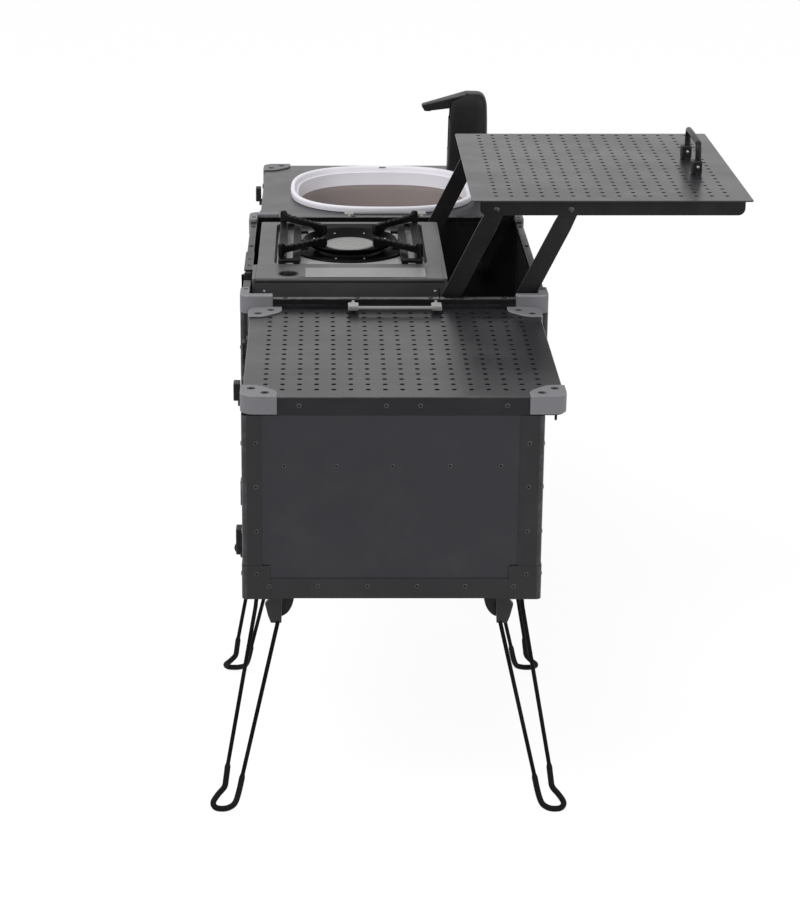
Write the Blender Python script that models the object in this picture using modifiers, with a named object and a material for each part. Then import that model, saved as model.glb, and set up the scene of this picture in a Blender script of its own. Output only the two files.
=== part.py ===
"""Folding camp kitchen: two cabinets on wire legs with an open tub between them.

Metres, Z up. X runs from the cook's side (negative) to the rear, Y from the near end to the far end.
The drawing frame has its origin at the near end face, on the middle of the worktop, at worktop level.
The last step moves everything so that the origin is the centre of the bounding box on the ground.
"""

import math

import bmesh
import bpy
from mathutils import Matrix, Vector

# Fits and joins
fit_gap = 0.0003
pin_clearance = 0.0003
weld = 0.0006
cut_reach = 0.05

# Cabinets
worktop_width = 0.410
near_length = 0.406
far_length = 0.424
cabinet_height = 0.273
rear_overhang = 0.026
worktop_sheet = 0.0015
skirt_height = 0.024
skirt_sheet = 0.0025
panel_sheet = 0.003
trim_sheet = 0.0012
trim_wrap = 0.020
front_post_width = 0.0235
rear_post_width = 0.029
bottom_rail_height = 0.026
module_gap = 0.007

# Front doors
door_margin = 0.0217
sill_height = 0.021
hinge_station = 0.110
hinge_barrel_radius = 0.0036
hinge_barrel_length = 0.036
hinge_leaf_height = 0.026
hinge_leaf_sheet = 0.0025
latch_station = 0.110
latch_plate_height = 0.018
latch_width = 0.018
latch_plate_drop = 0.004
latch_lever_sheet = 0.003
latch_lever_length = 0.026
latch_barrel_radius = 0.0028
latch_ear_width = 0.004
catch_height = 0.009
catch_drop = 0.009
catch_depth = 0.0025

# Corner caps
cap_leg = 0.050
cap_tip = 0.007
cap_shell = 0.0027
cap_corner_radius = 0.009
cap_corner_steps = 5
cap_hole_radius = 0.0030
cap_hole_inset = 0.014
cap_hole_along = 0.034
tub_cap_drop = 0.024

# Legs
leg_inset_front = 0.043
leg_inset_rear = 0.047
leg_inset_end = 0.038
leg_ground_drop = 0.572
pivot_drop = 0.014
rail_width = 0.062
rail_sheet = 0.002
rail_margin = 0.023
lug_sheet = 0.003
lug_radius = 0.009
leg_pin_radius = 0.003
head_sheet = 0.0062
head_reach = 0.028
head_top_radius = 0.0065
wire_radius = 0.0032
sleeve_radius = 0.0052
outer_rod_top = 0.027
outer_rod_foot = 0.067
inner_rod_foot = 0.047
foot_reach = 0.088
foot_bend = 0.0135
end_splay = 0.052
outer_rod_share = 0.775
inner_rod_share = 0.84
rod_shoulder_share = 0.82
rod_end_share = 0.60
foot_turn_share = 0.985
foot_tip_share = 0.97
foot_heel_share = 0.95
foot_rise_share = 1.04

# Tub
tub_length = 0.498
tub_width = 0.436
tub_height = 0.168
rim_rise = 0.016
rim_height = 0.0127
rim_rail_width = 0.0105
tub_wall = 0.0025
rim_overhang = 0.002
notch_width = 0.046
notch_depth = 0.044

# Pull handles
handle_length = 0.133
handle_reach = 0.031
handle_bar = 0.008
handle_edge = 0.0012
shelf_handle_height = 0.045
shelf_handle_bar = 0.010
shelf_handle_inset = 0.063

# Raised shelf and its parallel arms
shelf_width = 0.392
shelf_end_gap = 0.022
shelf_sheet = 0.002
flange_height = 0.0185
flange_sheet = 0.002
flange_inset_front = 0.004
flange_inset_rear = 0.007
flange_end_radius = 0.010
arm_length = 0.225
arm_width = 0.026
arm_sheet = 0.003
arm_top_radius = 0.0113
arm_spread = 0.106
arm_pivot_depth = 0.080
arm_lean = math.radians(26.0)
arm_pin_radius = 0.0035
arm_boss_radius = 0.008
pin_head_sheet = 0.0015
pin_head_radius = 0.007
pivot_below_shelf = 0.014
shelf_front_overhang = 0.028

# Stove and its tray
stove_width = 0.286
stove_length = 0.344
stove_height = 0.070
stove_foot_height = 0.005
stove_foot_radius = 0.009
stove_foot_inset = 0.030
stove_top_rise = 0.020
stove_side_gap = 0.0015
stove_centre_shift = 0.006
bay_length = 0.090
bay_wall = 0.010
bay_depth = 0.060
cover_sheet = 0.003
cover_seat = 0.012
cover_barrel_radius = 0.003
well_margin_front = 0.031
well_margin_rear = 0.026
well_margin_end = 0.012
well_depth = 0.012
burner_radius = 0.042
burner_cap_radius = 0.037
burner_height = 0.009
burner_cap_height = 0.004
grate_ring_radius = 0.071
grate_ring_bar = 0.005
grate_ring_height = 0.006
grate_bar_sheet = 0.004
grate_bar_inner = 0.040
grate_bar_outer = 0.152
grate_height = 0.024
grate_ring_share = 0.72
grate_inner_share = 0.60
grate_tip = 0.010
grate_foot = 0.008
knob_radius = 0.016
knob_length = 0.017
knob_shaft_radius = 0.006
knob_from_end = 0.041
knob_below_rim = 0.014
knob_grip = 0.006
knob_grip_rise = 0.003
tray_sheet = 0.002
tray_margin = 0.020
tray_overlap = 0.006

# Wash basin
basin_half_x = 0.157
basin_half_y = 0.166
basin_squareness = 2.5
basin_rim_height = 0.0105
basin_rim_round = 0.003
basin_rim_flat = 0.0095
basin_rim_width = 0.013
basin_lip_share = 0.60
basin_throat_share = 0.35
basin_depth = 0.108
basin_wall = 0.0030
basin_draft = 0.012
basin_floor_round = 0.012
basin_steps = 56
basin_shift_y = 0.001

# Pump faucet
faucet_width = 0.071
faucet_depth = 0.056
faucet_height = 0.142
faucet_squareness = 2.6
faucet_edge_inset_x = 0.0166
faucet_edge_inset_y = 0.058
faucet_flange = 0.002
faucet_flange_height = 0.004
faucet_shoulder = 0.016
shoulder_bend_in = 0.004
shoulder_bend_down = 0.0056
shoulder_top_in = 0.0128
faucet_steps = 36
spout_width = 0.026
spout_thickness = 0.011
spout_length = 0.080
spout_root_radius = 0.0075
spout_root_half = 0.00675
spout_drop_angle = math.radians(11.0)
spout_slot_gap = 0.0004
spout_slot_depth = 0.0125
spout_pin_radius = 0.0025
spout_pin_reach = 0.004
spout_pivot_inset = 0.031
spout_pivot_below_top = 0.011
outlet_radius = 0.0055
outlet_length = 0.006
slot_bottom_share = 0.30

round_steps = 24
pin_steps = 16
wire_steps = 3

COLOURS = {
    "charcoal_panel": ((0.036, 0.036, 0.042), 0.55, 0.30),
    "worktop_grey": ((0.070, 0.070, 0.074), 0.45, 0.60),
    "black_metal": ((0.012, 0.012, 0.013), 0.42, 0.60),
    "trim_black": ((0.026, 0.026, 0.030), 0.45, 0.50),
    "cap_grey": ((0.180, 0.180, 0.195), 0.55, 0.20),
    "rim_grey": ((0.110, 0.110, 0.120), 0.35, 0.70),
    "stove_grey": ((0.200, 0.200, 0.210), 0.45, 0.45),
    "enamel_black": ((0.008, 0.008, 0.009), 0.22, 0.10),
    "basin_white": ((0.740, 0.730, 0.760), 0.45, 0.0),
    "faucet_black": ((0.022, 0.022, 0.025), 0.40, 0.10),
}

# Sizes worked out from the ones above
half_width = worktop_width / 2
body_front = -half_width
body_rear = half_width - rear_overhang
tub_start = near_length + module_gap
tub_end = tub_start + tub_length
far_start = tub_end + module_gap
far_end = far_start + far_length
rim_outer = tub_width / 2
rim_inner = rim_outer - rim_rail_width
rim_top = rim_rise
rim_bottom = rim_rise - rim_height
tub_outer = rim_outer - rim_overhang
tub_bottom = rim_top - tub_height
tub_floor_top = tub_bottom + tub_wall
tub_middle = (tub_start + tub_end) / 2
arm_pivot_z = rim_top - arm_pivot_depth
rear_pivot_x = (
    rim_inner
    - fit_gap
    - arm_width / 2 / math.cos(arm_lean)
    - (arm_pivot_depth + cap_shell) * math.tan(arm_lean)
)
front_pivot_x = rear_pivot_x - arm_spread
arm_run = arm_length * math.sin(arm_lean)
arm_rise = arm_length * math.cos(arm_lean)
shelf_pivot_z = arm_pivot_z + arm_rise
shelf_top = shelf_pivot_z + pivot_below_shelf
shelf_front = front_pivot_x + arm_run - shelf_front_overhang
shelf_rear = shelf_front + shelf_width
shelf_near = tub_start + shelf_end_gap
shelf_far = tub_end - shelf_end_gap
arm_near_y = shelf_near + flange_sheet + fit_gap * 2
stove_front = -rim_inner + stove_side_gap
stove_rear = stove_front + stove_width
stove_top = stove_top_rise
stove_bottom = stove_top - stove_height
stove_near = tub_middle + stove_centre_shift - stove_length / 2
stove_far = stove_near + stove_length
tray_top = stove_bottom - stove_foot_height - fit_gap
basin_middle_y = (far_start + far_end) / 2 + basin_shift_y
leg_pivot_z = -cabinet_height - pivot_drop
foot_drop = leg_ground_drop - cabinet_height - pivot_drop


def clear_scene():
    """Removes every object that the startup scene holds."""
    for obj in list(bpy.data.objects):
        bpy.data.objects.remove(obj, do_unlink=True)


clear_scene()
parts = bpy.data.collections.new("camp_kitchen")
cutters = bpy.data.collections.new("cutters")
bpy.context.scene.collection.children.link(parts)
bpy.context.scene.collection.children.link(cutters)
cutters.hide_render = True


def material(name):
    """One Principled material for each finish, made once."""
    found = bpy.data.materials.get(name)
    if found:
        return found
    colour, roughness, metallic = COLOURS[name]
    made = bpy.data.materials.new(name)
    made.use_nodes = True
    shader = made.node_tree.nodes["Principled BSDF"]
    shader.inputs["Base Color"].default_value = (*colour, 1.0)
    shader.inputs["Roughness"].default_value = roughness
    shader.inputs["Metallic"].default_value = metallic
    made.diffuse_color = (*colour, 1.0)
    return made


def mesh_object(name, bm, finish=None):
    """A mesh object from a bmesh, in the parts collection or, without a finish, among the cutters."""
    bmesh.ops.recalc_face_normals(bm, faces=bm.faces)
    mesh = bpy.data.meshes.new(name)
    bm.to_mesh(mesh)
    bm.free()
    obj = bpy.data.objects.new(name, mesh)
    if finish:
        parts.objects.link(obj)
        mesh.materials.append(material(finish))
    else:
        as_cutter(obj)
    return obj


def as_cutter(obj):
    """Keeps a helper solid out of the render."""
    cutters.objects.link(obj)
    obj.hide_render = True
    obj.display_type = "WIRE"


def box(name, xs, ys, zs, finish=None):
    """An axis-aligned box between the two values given for each axis, in either order."""
    low = Vector((min(xs), min(ys), min(zs)))
    high = Vector((max(xs), max(ys), max(zs)))
    size = high - low
    bm = bmesh.new()
    place = Matrix.Translation((low + high) / 2) @ Matrix.Diagonal((*size, 1))
    bmesh.ops.create_cube(bm, size=1.0, matrix=place)
    return mesh_object(name, bm, finish)


def rod(name, start, end, radius, finish=None, steps=pin_steps, end_radius=None):
    """A capped cylinder, or a cone with its own end radius, from start to end."""
    start = Vector(start)
    end = Vector(end)
    run = end - start
    turn = Vector((0, 0, 1)).rotation_difference(run).to_matrix().to_4x4()
    bm = bmesh.new()
    bmesh.ops.create_cone(
        bm,
        cap_ends=True,
        segments=steps,
        radius1=radius,
        radius2=radius if end_radius is None else end_radius,
        depth=run.length,
        matrix=Matrix.Translation((start + end) / 2) @ turn,
    )
    return mesh_object(name, bm, finish)


def from_curve(name, curve, finish):
    """The evaluated mesh of a curve, welded, as its own object."""
    holder = bpy.data.objects.new(name + "_curve", curve)
    as_cutter(holder)
    bpy.context.view_layer.update()
    graph = bpy.context.evaluated_depsgraph_get()
    mesh = bpy.data.meshes.new_from_object(holder.evaluated_get(graph))
    bpy.data.objects.remove(holder, do_unlink=True)
    bm = bmesh.new()
    bm.from_mesh(mesh)
    bmesh.ops.remove_doubles(bm, verts=bm.verts, dist=1e-6)
    return mesh_object(name, bm, finish)


def slab(name, outline, thickness, place, finish=None):
    """A flat plate cut to an outline, extruded both ways from its middle plane, then placed."""
    curve = bpy.data.curves.new(name, "CURVE")
    curve.dimensions = "2D"
    curve.fill_mode = "BOTH"
    curve.extrude = thickness / 2
    spline = curve.splines.new("POLY")
    spline.points.add(len(outline) - 1)
    for point, (across, up) in zip(spline.points, outline):
        point.co = (across, up, 0, 1)
    spline.use_cyclic_u = True
    made = from_curve(name, curve, finish)
    made.data.transform(place)
    return made


def wire(name, path, radii, finish):
    """A round bar along a path, with a radius at each point and closed ends."""
    curve = bpy.data.curves.new(name, "CURVE")
    curve.dimensions = "3D"
    curve.bevel_depth = 1.0
    curve.bevel_resolution = wire_steps
    curve.use_fill_caps = True
    spline = curve.splines.new("POLY")
    spline.points.add(len(path) - 1)
    for point, where, radius in zip(spline.points, path, radii):
        point.co = (*where, 1)
        point.radius = radius
    return from_curve(name, curve, finish)


def loft(name, rings, finish):
    """A closed skin through rings of equal length, capped at both ends."""
    bm = bmesh.new()
    rows = [[bm.verts.new(point) for point in ring] for ring in rings]
    count = len(rows[0])
    for lower, upper in zip(rows, rows[1:]):
        for i in range(count):
            after = (i + 1) % count
            bm.faces.new((lower[i], lower[after], upper[after], upper[i]))
    bm.faces.new(list(reversed(rows[0])))
    bm.faces.new(rows[-1])
    return mesh_object(name, bm, finish)


def combine(target, others, operation):
    """Adds one Boolean for each helper solid."""
    for index, other in enumerate(others):
        modifier = target.modifiers.new(f"{operation.lower()}_{index}", "BOOLEAN")
        modifier.operation = operation
        modifier.solver = "EXACT"
        modifier.object = other
    return target


def join(target, others):
    """Welds helper solids onto the target."""
    return combine(target, others, "UNION")


def cut(target, others):
    """Cuts helper solids out of the target."""
    return combine(target, others, "DIFFERENCE")


def bevel(obj, width, segments=2):
    """Rounds the sharp edges."""
    modifier = obj.modifiers.new("edge_round", "BEVEL")
    modifier.width = width
    modifier.segments = segments
    modifier.limit_method = "ANGLE"
    return obj


def superellipse(half_x, half_y, squareness, steps, centre, z):
    """One ring of a rounded rectangle."""
    ring = []
    for i in range(steps):
        angle = 2 * math.pi * i / steps
        c = math.cos(angle)
        s = math.sin(angle)
        x = math.copysign(abs(c) ** (2 / squareness), c) * half_x
        y = math.copysign(abs(s) ** (2 / squareness), s) * half_y
        ring.append((centre[0] + x, centre[1] + y, z))
    return ring


def arc(centre, radius, start, end, steps):
    """Points on an arc, both ends included, angles in degrees."""
    points = []
    for i in range(steps + 1):
        angle = math.radians(start + (end - start) * i / steps)
        points.append(
            (centre[0] + radius * math.cos(angle), centre[1] + radius * math.sin(angle))
        )
    return points


# Planes that outlines are drawn in: local X and Y become world X and Z, or world Y and Z
FACING_Y = Matrix(((1, 0, 0, 0), (0, 0, -1, 0), (0, 1, 0, 0), (0, 0, 0, 1)))
FACING_X = Matrix(((0, 0, 1, 0), (1, 0, 0, 0), (0, 1, 0, 0), (0, 0, 0, 1)))


def corner_cap(name, corner, facing, base_z, drop, outline, with_holes):
    """A cap over a corner: its outline, hollowed where the piece it covers goes."""
    turn = Matrix.Diagonal((facing[0], facing[1], 1, 1))
    height = drop + cap_shell
    middle = base_z + cap_shell / 2 - drop / 2
    place = Matrix.Translation((corner[0], corner[1], middle)) @ turn
    cap = slab(name, outline, height, place, "cap_grey")
    far = cap_leg + cut_reach
    room = box(
        name + "_room",
        (corner[0] - facing[0] * fit_gap, corner[0] + facing[0] * far),
        (corner[1] - facing[1] * fit_gap, corner[1] + facing[1] * far),
        (base_z + fit_gap, base_z - drop - cut_reach),
    )
    holes = []
    for index, (along, across) in enumerate(
        ((cap_hole_along, cap_hole_inset), (cap_hole_inset, cap_hole_along))
    ):
        x = corner[0] + facing[0] * along
        y = corner[1] + facing[1] * across
        holes.append(
            rod(
                f"{name}_hole_{index}",
                (x, y, base_z - cap_shell),
                (x, y, base_z + cap_shell * 2),
                cap_hole_radius,
            )
        )
    return cut(cap, [room] + (holes if with_holes else []))


def triangle_outline():
    """The top cabinet cap: a rounded corner and a straight inner edge."""
    out = -cap_shell - fit_gap
    inner = out + cap_corner_radius
    points = arc((inner, inner), cap_corner_radius, 180, 270, cap_corner_steps)
    points += [(cap_leg, out), (cap_leg, cap_tip), (cap_tip, cap_leg), (out, cap_leg)]
    return points


def angle_outline():
    """The tub cap: a rounded corner whose flap follows the rim rails."""
    out = -cap_shell - fit_gap
    inner = out + cap_corner_radius
    points = arc((inner, inner), cap_corner_radius, 180, 270, cap_corner_steps)
    points += [
        (cap_leg, out),
        (cap_leg, rim_rail_width),
        (rim_rail_width, rim_rail_width),
        (rim_rail_width, cap_leg),
        (out, cap_leg),
    ]
    return points


def pull_handle(name, middle, along, out, length, reach, bar, finish):
    """A fixed bail: two feet joined by a bar. It is drawn in the plane of along and out."""
    half = length / 2
    inner = half - bar
    outline = [
        (-half, 0),
        (-half, reach),
        (half, reach),
        (half, 0),
        (inner, 0),
        (inner, reach - bar),
        (-inner, reach - bar),
        (-inner, 0),
    ]
    along = Vector(along)
    out = Vector(out)
    side = along.cross(out)
    place = Matrix.Translation(middle) @ Matrix(
        (
            (along.x, out.x, side.x, 0),
            (along.y, out.y, side.y, 0),
            (along.z, out.z, side.z, 0),
            (0, 0, 0, 1),
        )
    )
    return bevel(slab(name, outline, bar, place, finish), handle_edge)


class Cabinet:
    """One cabinet. Its v axis runs from its outer end (0) to the tub side (its length)."""

    def __init__(self, prefix, length, outer_y, inward):
        self.prefix = prefix
        self.length = length
        self.outer_y = outer_y
        self.inward = inward

    def name(self, piece):
        """The name of one piece of this cabinet."""
        return f"{self.prefix}_{piece}"

    def y(self, v):
        """World Y of a distance from the outer end."""
        return self.outer_y + self.inward * v

    def span(self, low, high):
        """World Y values of two distances from the outer end."""
        return (self.y(low), self.y(high))

    def top(self):
        """The worktop: a sheet with its edges turned down all round."""
        tray = box(
            self.name("worktop"),
            (-half_width, half_width),
            self.span(0, self.length),
            (-skirt_height, 0),
            "worktop_grey",
        )
        inner = half_width - skirt_sheet
        hollow = box(
            self.name("worktop_hollow"),
            (-inner, inner),
            self.span(skirt_sheet, self.length - skirt_sheet),
            (-worktop_sheet, -skirt_height - cut_reach),
        )
        cut(tray, [hollow])
        catches = []
        for tag, v in self.stations(latch_station):
            catches.append(
                box(
                    self.name(f"catch_{tag}"),
                    (-half_width + weld, -half_width - catch_depth),
                    self.span(v - latch_width / 2, v + latch_width / 2),
                    (-catch_drop, -catch_drop - catch_height),
                )
            )
        return join(tray, catches)

    def stations(self, inset):
        """The two places along the length where paired hardware sits."""
        return (("outer", inset), ("inner", self.length - inset))

    def shell(self):
        """Floor, rear wall, tub-side wall and the frame that the front door closes in."""
        top_z = -skirt_height - fit_gap
        start = panel_sheet + fit_gap
        body = box(
            self.name("shell"),
            (body_front, body_rear),
            self.span(start, self.length),
            (-cabinet_height, top_z),
            "charcoal_panel",
        )
        room = box(
            self.name("shell_room"),
            (body_front + panel_sheet, body_rear - panel_sheet),
            self.span(-cut_reach, self.length - panel_sheet),
            (-cabinet_height + panel_sheet, cut_reach),
        )
        doorway = box(
            self.name("doorway"),
            (body_front - cut_reach, body_front + panel_sheet + cut_reach / 2),
            self.span(door_margin, self.length - door_margin),
            (-cabinet_height + sill_height, cut_reach),
        )
        rear_rise = box(
            self.name("rear_rise"),
            (body_rear - panel_sheet, body_rear),
            self.span(start, self.length - skirt_sheet - fit_gap),
            (top_z - skirt_height, -worktop_sheet - fit_gap),
        )
        cut(body, [room, doorway])
        leaves = []
        for tag, v in self.stations(hinge_station):
            leaves.append(
                box(
                    self.name(f"fixed_leaf_{tag}"),
                    (body_front + weld, body_front - hinge_leaf_sheet),
                    self.span(v - hinge_barrel_length / 2, v + hinge_barrel_length / 2),
                    (
                        -cabinet_height,
                        self.hinge_z() - hinge_barrel_radius - fit_gap,
                    ),
                )
            )
        return join(body, [rear_rise] + leaves)

    def end_panel(self):
        """The riveted end panel."""
        return box(
            self.name("end_panel"),
            (body_front, body_rear),
            self.span(0, panel_sheet),
            (-cabinet_height, -skirt_height - fit_gap),
            "charcoal_panel",
        )

    def edge_frame(self):
        """Angle trim round the end panel: two posts and a bottom rail, wrapped round the edges."""
        skin = trim_sheet + fit_gap
        frame = box(
            self.name("edge_frame"),
            (body_front - skin, body_rear + skin),
            self.span(-skin, trim_wrap),
            (-cabinet_height - skin, -skirt_height - fit_gap),
            "trim_black",
        )
        room = box(
            self.name("frame_room"),
            (body_front - fit_gap, body_rear + fit_gap),
            self.span(-fit_gap, trim_wrap + cut_reach),
            (-cabinet_height - fit_gap, cut_reach),
        )
        window = box(
            self.name("frame_window"),
            (body_front + front_post_width, body_rear - rear_post_width),
            self.span(-cut_reach, panel_sheet),
            (-cabinet_height + bottom_rail_height, cut_reach),
        )
        return cut(frame, [room, window])

    def hinge_z(self):
        """Height of the door's hinge axis."""
        return -cabinet_height + sill_height

    def hinge_x(self):
        """The hinge barrel stands just clear of the front face."""
        return body_front - fit_gap - hinge_barrel_radius

    def door(self):
        """Drop-down front door with its hinge barrels, leaves, latch plates and latch ears."""
        low = self.hinge_z() + fit_gap
        high = -skirt_height - fit_gap
        panel = box(
            self.name("front_door"),
            (body_front, body_front + panel_sheet),
            self.span(door_margin + fit_gap, self.length - door_margin - fit_gap),
            (low, high),
            "charcoal_panel",
        )
        extras = []
        for tag, v in self.stations(hinge_station):
            near, far = v - hinge_barrel_length / 2, v + hinge_barrel_length / 2
            extras.append(
                box(
                    self.name(f"door_leaf_{tag}"),
                    (body_front + weld, body_front - hinge_leaf_sheet),
                    self.span(near, far),
                    (low, low + hinge_leaf_height),
                )
            )
            extras.append(
                rod(
                    self.name(f"door_barrel_{tag}"),
                    (self.hinge_x(), self.y(near), self.hinge_z()),
                    (self.hinge_x(), self.y(far), self.hinge_z()),
                    hinge_barrel_radius,
                )
            )
        for tag, v in self.stations(latch_station):
            half = latch_width / 2 + fit_gap + latch_ear_width
            plate_top = high - latch_plate_drop
            extras.append(
                box(
                    self.name(f"latch_plate_{tag}"),
                    (body_front + weld, body_front - hinge_leaf_sheet),
                    self.span(v - half, v + half),
                    (plate_top, plate_top - latch_plate_height),
                )
            )
            for side in (-1, 1):
                inner = v + side * (latch_width / 2 + fit_gap)
                outer = inner + side * latch_ear_width
                extras.append(
                    box(
                        self.name(f"latch_ear_{tag}_{side + 1}"),
                        (
                            body_front - hinge_leaf_sheet + weld,
                            self.latch_x() - latch_barrel_radius,
                        ),
                        self.span(inner, outer),
                        (
                            self.latch_z() - latch_barrel_radius,
                            self.latch_z() + latch_barrel_radius,
                        ),
                    )
                )
        return join(panel, extras)

    def latch_x(self):
        """X of the latch lever's pivot."""
        return body_front - hinge_leaf_sheet - fit_gap - latch_barrel_radius

    def latch_z(self):
        """Height of the latch lever's pivot."""
        plate_top = -skirt_height - fit_gap - latch_plate_drop
        return plate_top - latch_plate_height + latch_barrel_radius * 2

    def latches(self):
        """Two draw levers that hold the door to the worktop's edge."""
        for tag, v in self.stations(latch_station):
            half = latch_width / 2
            x = self.latch_x()
            z = self.latch_z()
            lever = rod(
                self.name(f"latch_{tag}"),
                (x, self.y(v - half), z),
                (x, self.y(v + half), z),
                latch_barrel_radius,
                "black_metal",
            )
            blade = box(
                self.name(f"latch_blade_{tag}"),
                (x - latch_barrel_radius, x - latch_barrel_radius + latch_lever_sheet),
                self.span(v - half, v + half),
                (z, z + latch_lever_length),
            )
            join(lever, [blade])

    def caps(self):
        """Four corner caps on the worktop."""
        outline = triangle_outline()
        for x_tag, x_sign in (("front", -1), ("rear", 1)):
            for v_tag, v in (("outer", 0), ("inner", self.length)):
                into = self.inward if v == 0 else -self.inward
                corner_cap(
                    self.name(f"cap_{x_tag}_{v_tag}"),
                    (x_sign * half_width, self.y(v)),
                    (-x_sign, into),
                    0,
                    skirt_height,
                    outline,
                    True,
                )

    def leg_stations(self):
        """Where the four legs pivot: X, outward in X, distance from the outer end, outward in Y."""
        rows = []
        for x_tag, x, out in (
            ("front", body_front + leg_inset_front, -1),
            ("rear", body_rear - leg_inset_rear, 1),
        ):
            for v_tag, v, way in (
                ("outer", leg_inset_end, -self.inward),
                ("inner", self.length - leg_inset_end, self.inward),
            ):
                rows.append((x_tag, v_tag, x, out, v, way))
        return rows

    def leg_rails(self):
        """Two rails under the floor, each with a pair of lugs and a pin at either end."""
        top_z = -cabinet_height - fit_gap
        for wanted in ("front", "rear"):
            stations = [row for row in self.leg_stations() if row[0] == wanted]
            x = stations[0][2]
            rail = box(
                self.name(f"leg_rail_{wanted}"),
                (x - rail_width / 2, x + rail_width / 2),
                self.span(rail_margin, self.length - rail_margin),
                (top_z, top_z - rail_sheet),
                "black_metal",
            )
            extras = []
            for _, v_tag, _, _, v, _ in stations:
                reach = head_sheet / 2 + fit_gap
                for side in (-1, 1):
                    near = v + side * reach
                    far = near + side * lug_sheet
                    lug = slab(
                        self.name(f"lug_{wanted}_{v_tag}_{side + 1}"),
                        lug_outline(top_z),
                        lug_sheet,
                        Matrix.Translation((x, self.y((near + far) / 2), leg_pivot_z))
                        @ FACING_Y,
                    )
                    extras.append(lug)
                outer = reach + lug_sheet + weld
                extras.append(
                    rod(
                        self.name(f"leg_pin_{wanted}_{v_tag}"),
                        (x, self.y(v - outer), leg_pivot_z),
                        (x, self.y(v + outer), leg_pivot_z),
                        leg_pin_radius,
                    )
                )
            join(rail, extras)

    def legs(self):
        """Four hairpin legs with a sleeved loop foot and a flat head that turns on the rail's pin."""
        for x_tag, v_tag, x, out, v, way in self.leg_stations():
            hairpin_leg(
                self.name(f"leg_{x_tag}_{v_tag}"),
                (x, self.y(v), leg_pivot_z),
                out,
                way,
            )

    def build(self):
        """Every piece of the cabinet."""
        self.top()
        self.shell()
        self.end_panel()
        self.edge_frame()
        self.door()
        self.latches()
        self.caps()
        self.leg_rails()
        self.legs()


def lug_outline(rail_top):
    """A tab that hangs from the rail and ends round about the pin."""
    up = rail_top - rail_sheet / 2 - leg_pivot_z
    points = arc((0, 0), lug_radius, 180, 360, 8)
    return [(-lug_radius, up)] + points + [(lug_radius, up)]


def smooth(points, steps):
    """Catmull-Rom points through the given ones."""
    padded = [points[0]] + list(points) + [points[-1]]
    path = []
    for a, b, c, d in zip(padded, padded[1:], padded[2:], padded[3:]):
        for i in range(steps):
            t = i / steps
            path.append(
                (
                    b * 2
                    + (c - a) * t
                    + (a * 2 - b * 5 + c * 4 - d) * t * t
                    + (b * 3 - a - c * 3 + d) * t * t * t
                )
                / 2
            )
    path.append(points[-1])
    return path


def hairpin_leg(name, pivot, out, way):
    """One leg, drawn outward along +X and toward its end along +Y, then turned to its corner."""
    outer_low = -foot_drop * outer_rod_share
    inner_low = -foot_drop * inner_rod_share
    loop_low = -foot_drop + sleeve_radius

    def at(across, z):
        return Vector((across, end_splay * z / -foot_drop, z))

    bottom = loop_low * foot_turn_share
    bend = head_reach / 2
    path = [
        at(head_reach / 3, -lug_radius / 2),
        at(outer_rod_top * rod_shoulder_share, -lug_radius),
    ]
    path += [at(outer_rod_top, -bend), at(outer_rod_foot, outer_low)]
    foot_middle = (inner_rod_foot + foot_reach) / 2
    foot = [
        at(outer_rod_foot, outer_low),
        at((outer_rod_foot + foot_reach) / 2, (outer_low + bottom) / 2),
        at(foot_reach - sleeve_radius, loop_low * foot_tip_share),
        at(foot_reach - foot_bend, loop_low),
        at(foot_middle - sleeve_radius, loop_low * foot_heel_share),
        at(inner_rod_foot + sleeve_radius / 2, inner_low * foot_rise_share),
        at(inner_rod_foot, inner_low),
    ]
    loop = smooth(foot, 4)
    radii = [wire_radius] * len(path) + [sleeve_radius] * len(loop)
    step = (at(outer_rod_foot, outer_low) - at(outer_rod_top, -bend)).normalized()
    path[-1] = at(outer_rod_foot, outer_low) - step * sleeve_radius / 2
    path += loop
    end = at(0, -head_reach)
    rise = (end - at(inner_rod_foot, inner_low)).normalized()
    path.append(at(inner_rod_foot, inner_low) + rise * sleeve_radius / 2)
    path += [end, at(0, -head_reach * rod_end_share)]
    radii += [wire_radius] * 3
    leg = wire(name, path, radii, "black_metal")
    head = slab(name + "_head", head_outline(), head_sheet, FACING_Y)
    bore = rod(
        name + "_bore",
        (0, -head_sheet, 0),
        (0, head_sheet, 0),
        leg_pin_radius + pin_clearance,
    )
    for piece in (leg, head, bore):
        place = Matrix.Diagonal((out, way, 1, 1))
        piece.data.transform(place)
        if out * way < 0:
            piece.data.flip_normals()
        piece.location = pivot
    join(leg, [head])
    cut(leg, [bore])
    return leg


def head_outline():
    """A quarter-round head: round about the pin, widening down and outward."""
    points = arc((0, 0), head_top_radius, 40, 180, 8)
    points += [(-head_top_radius, -head_reach + wire_radius)]
    points += arc((0, -wire_radius), head_reach - wire_radius, 265, 350, 8)
    return points


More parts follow.
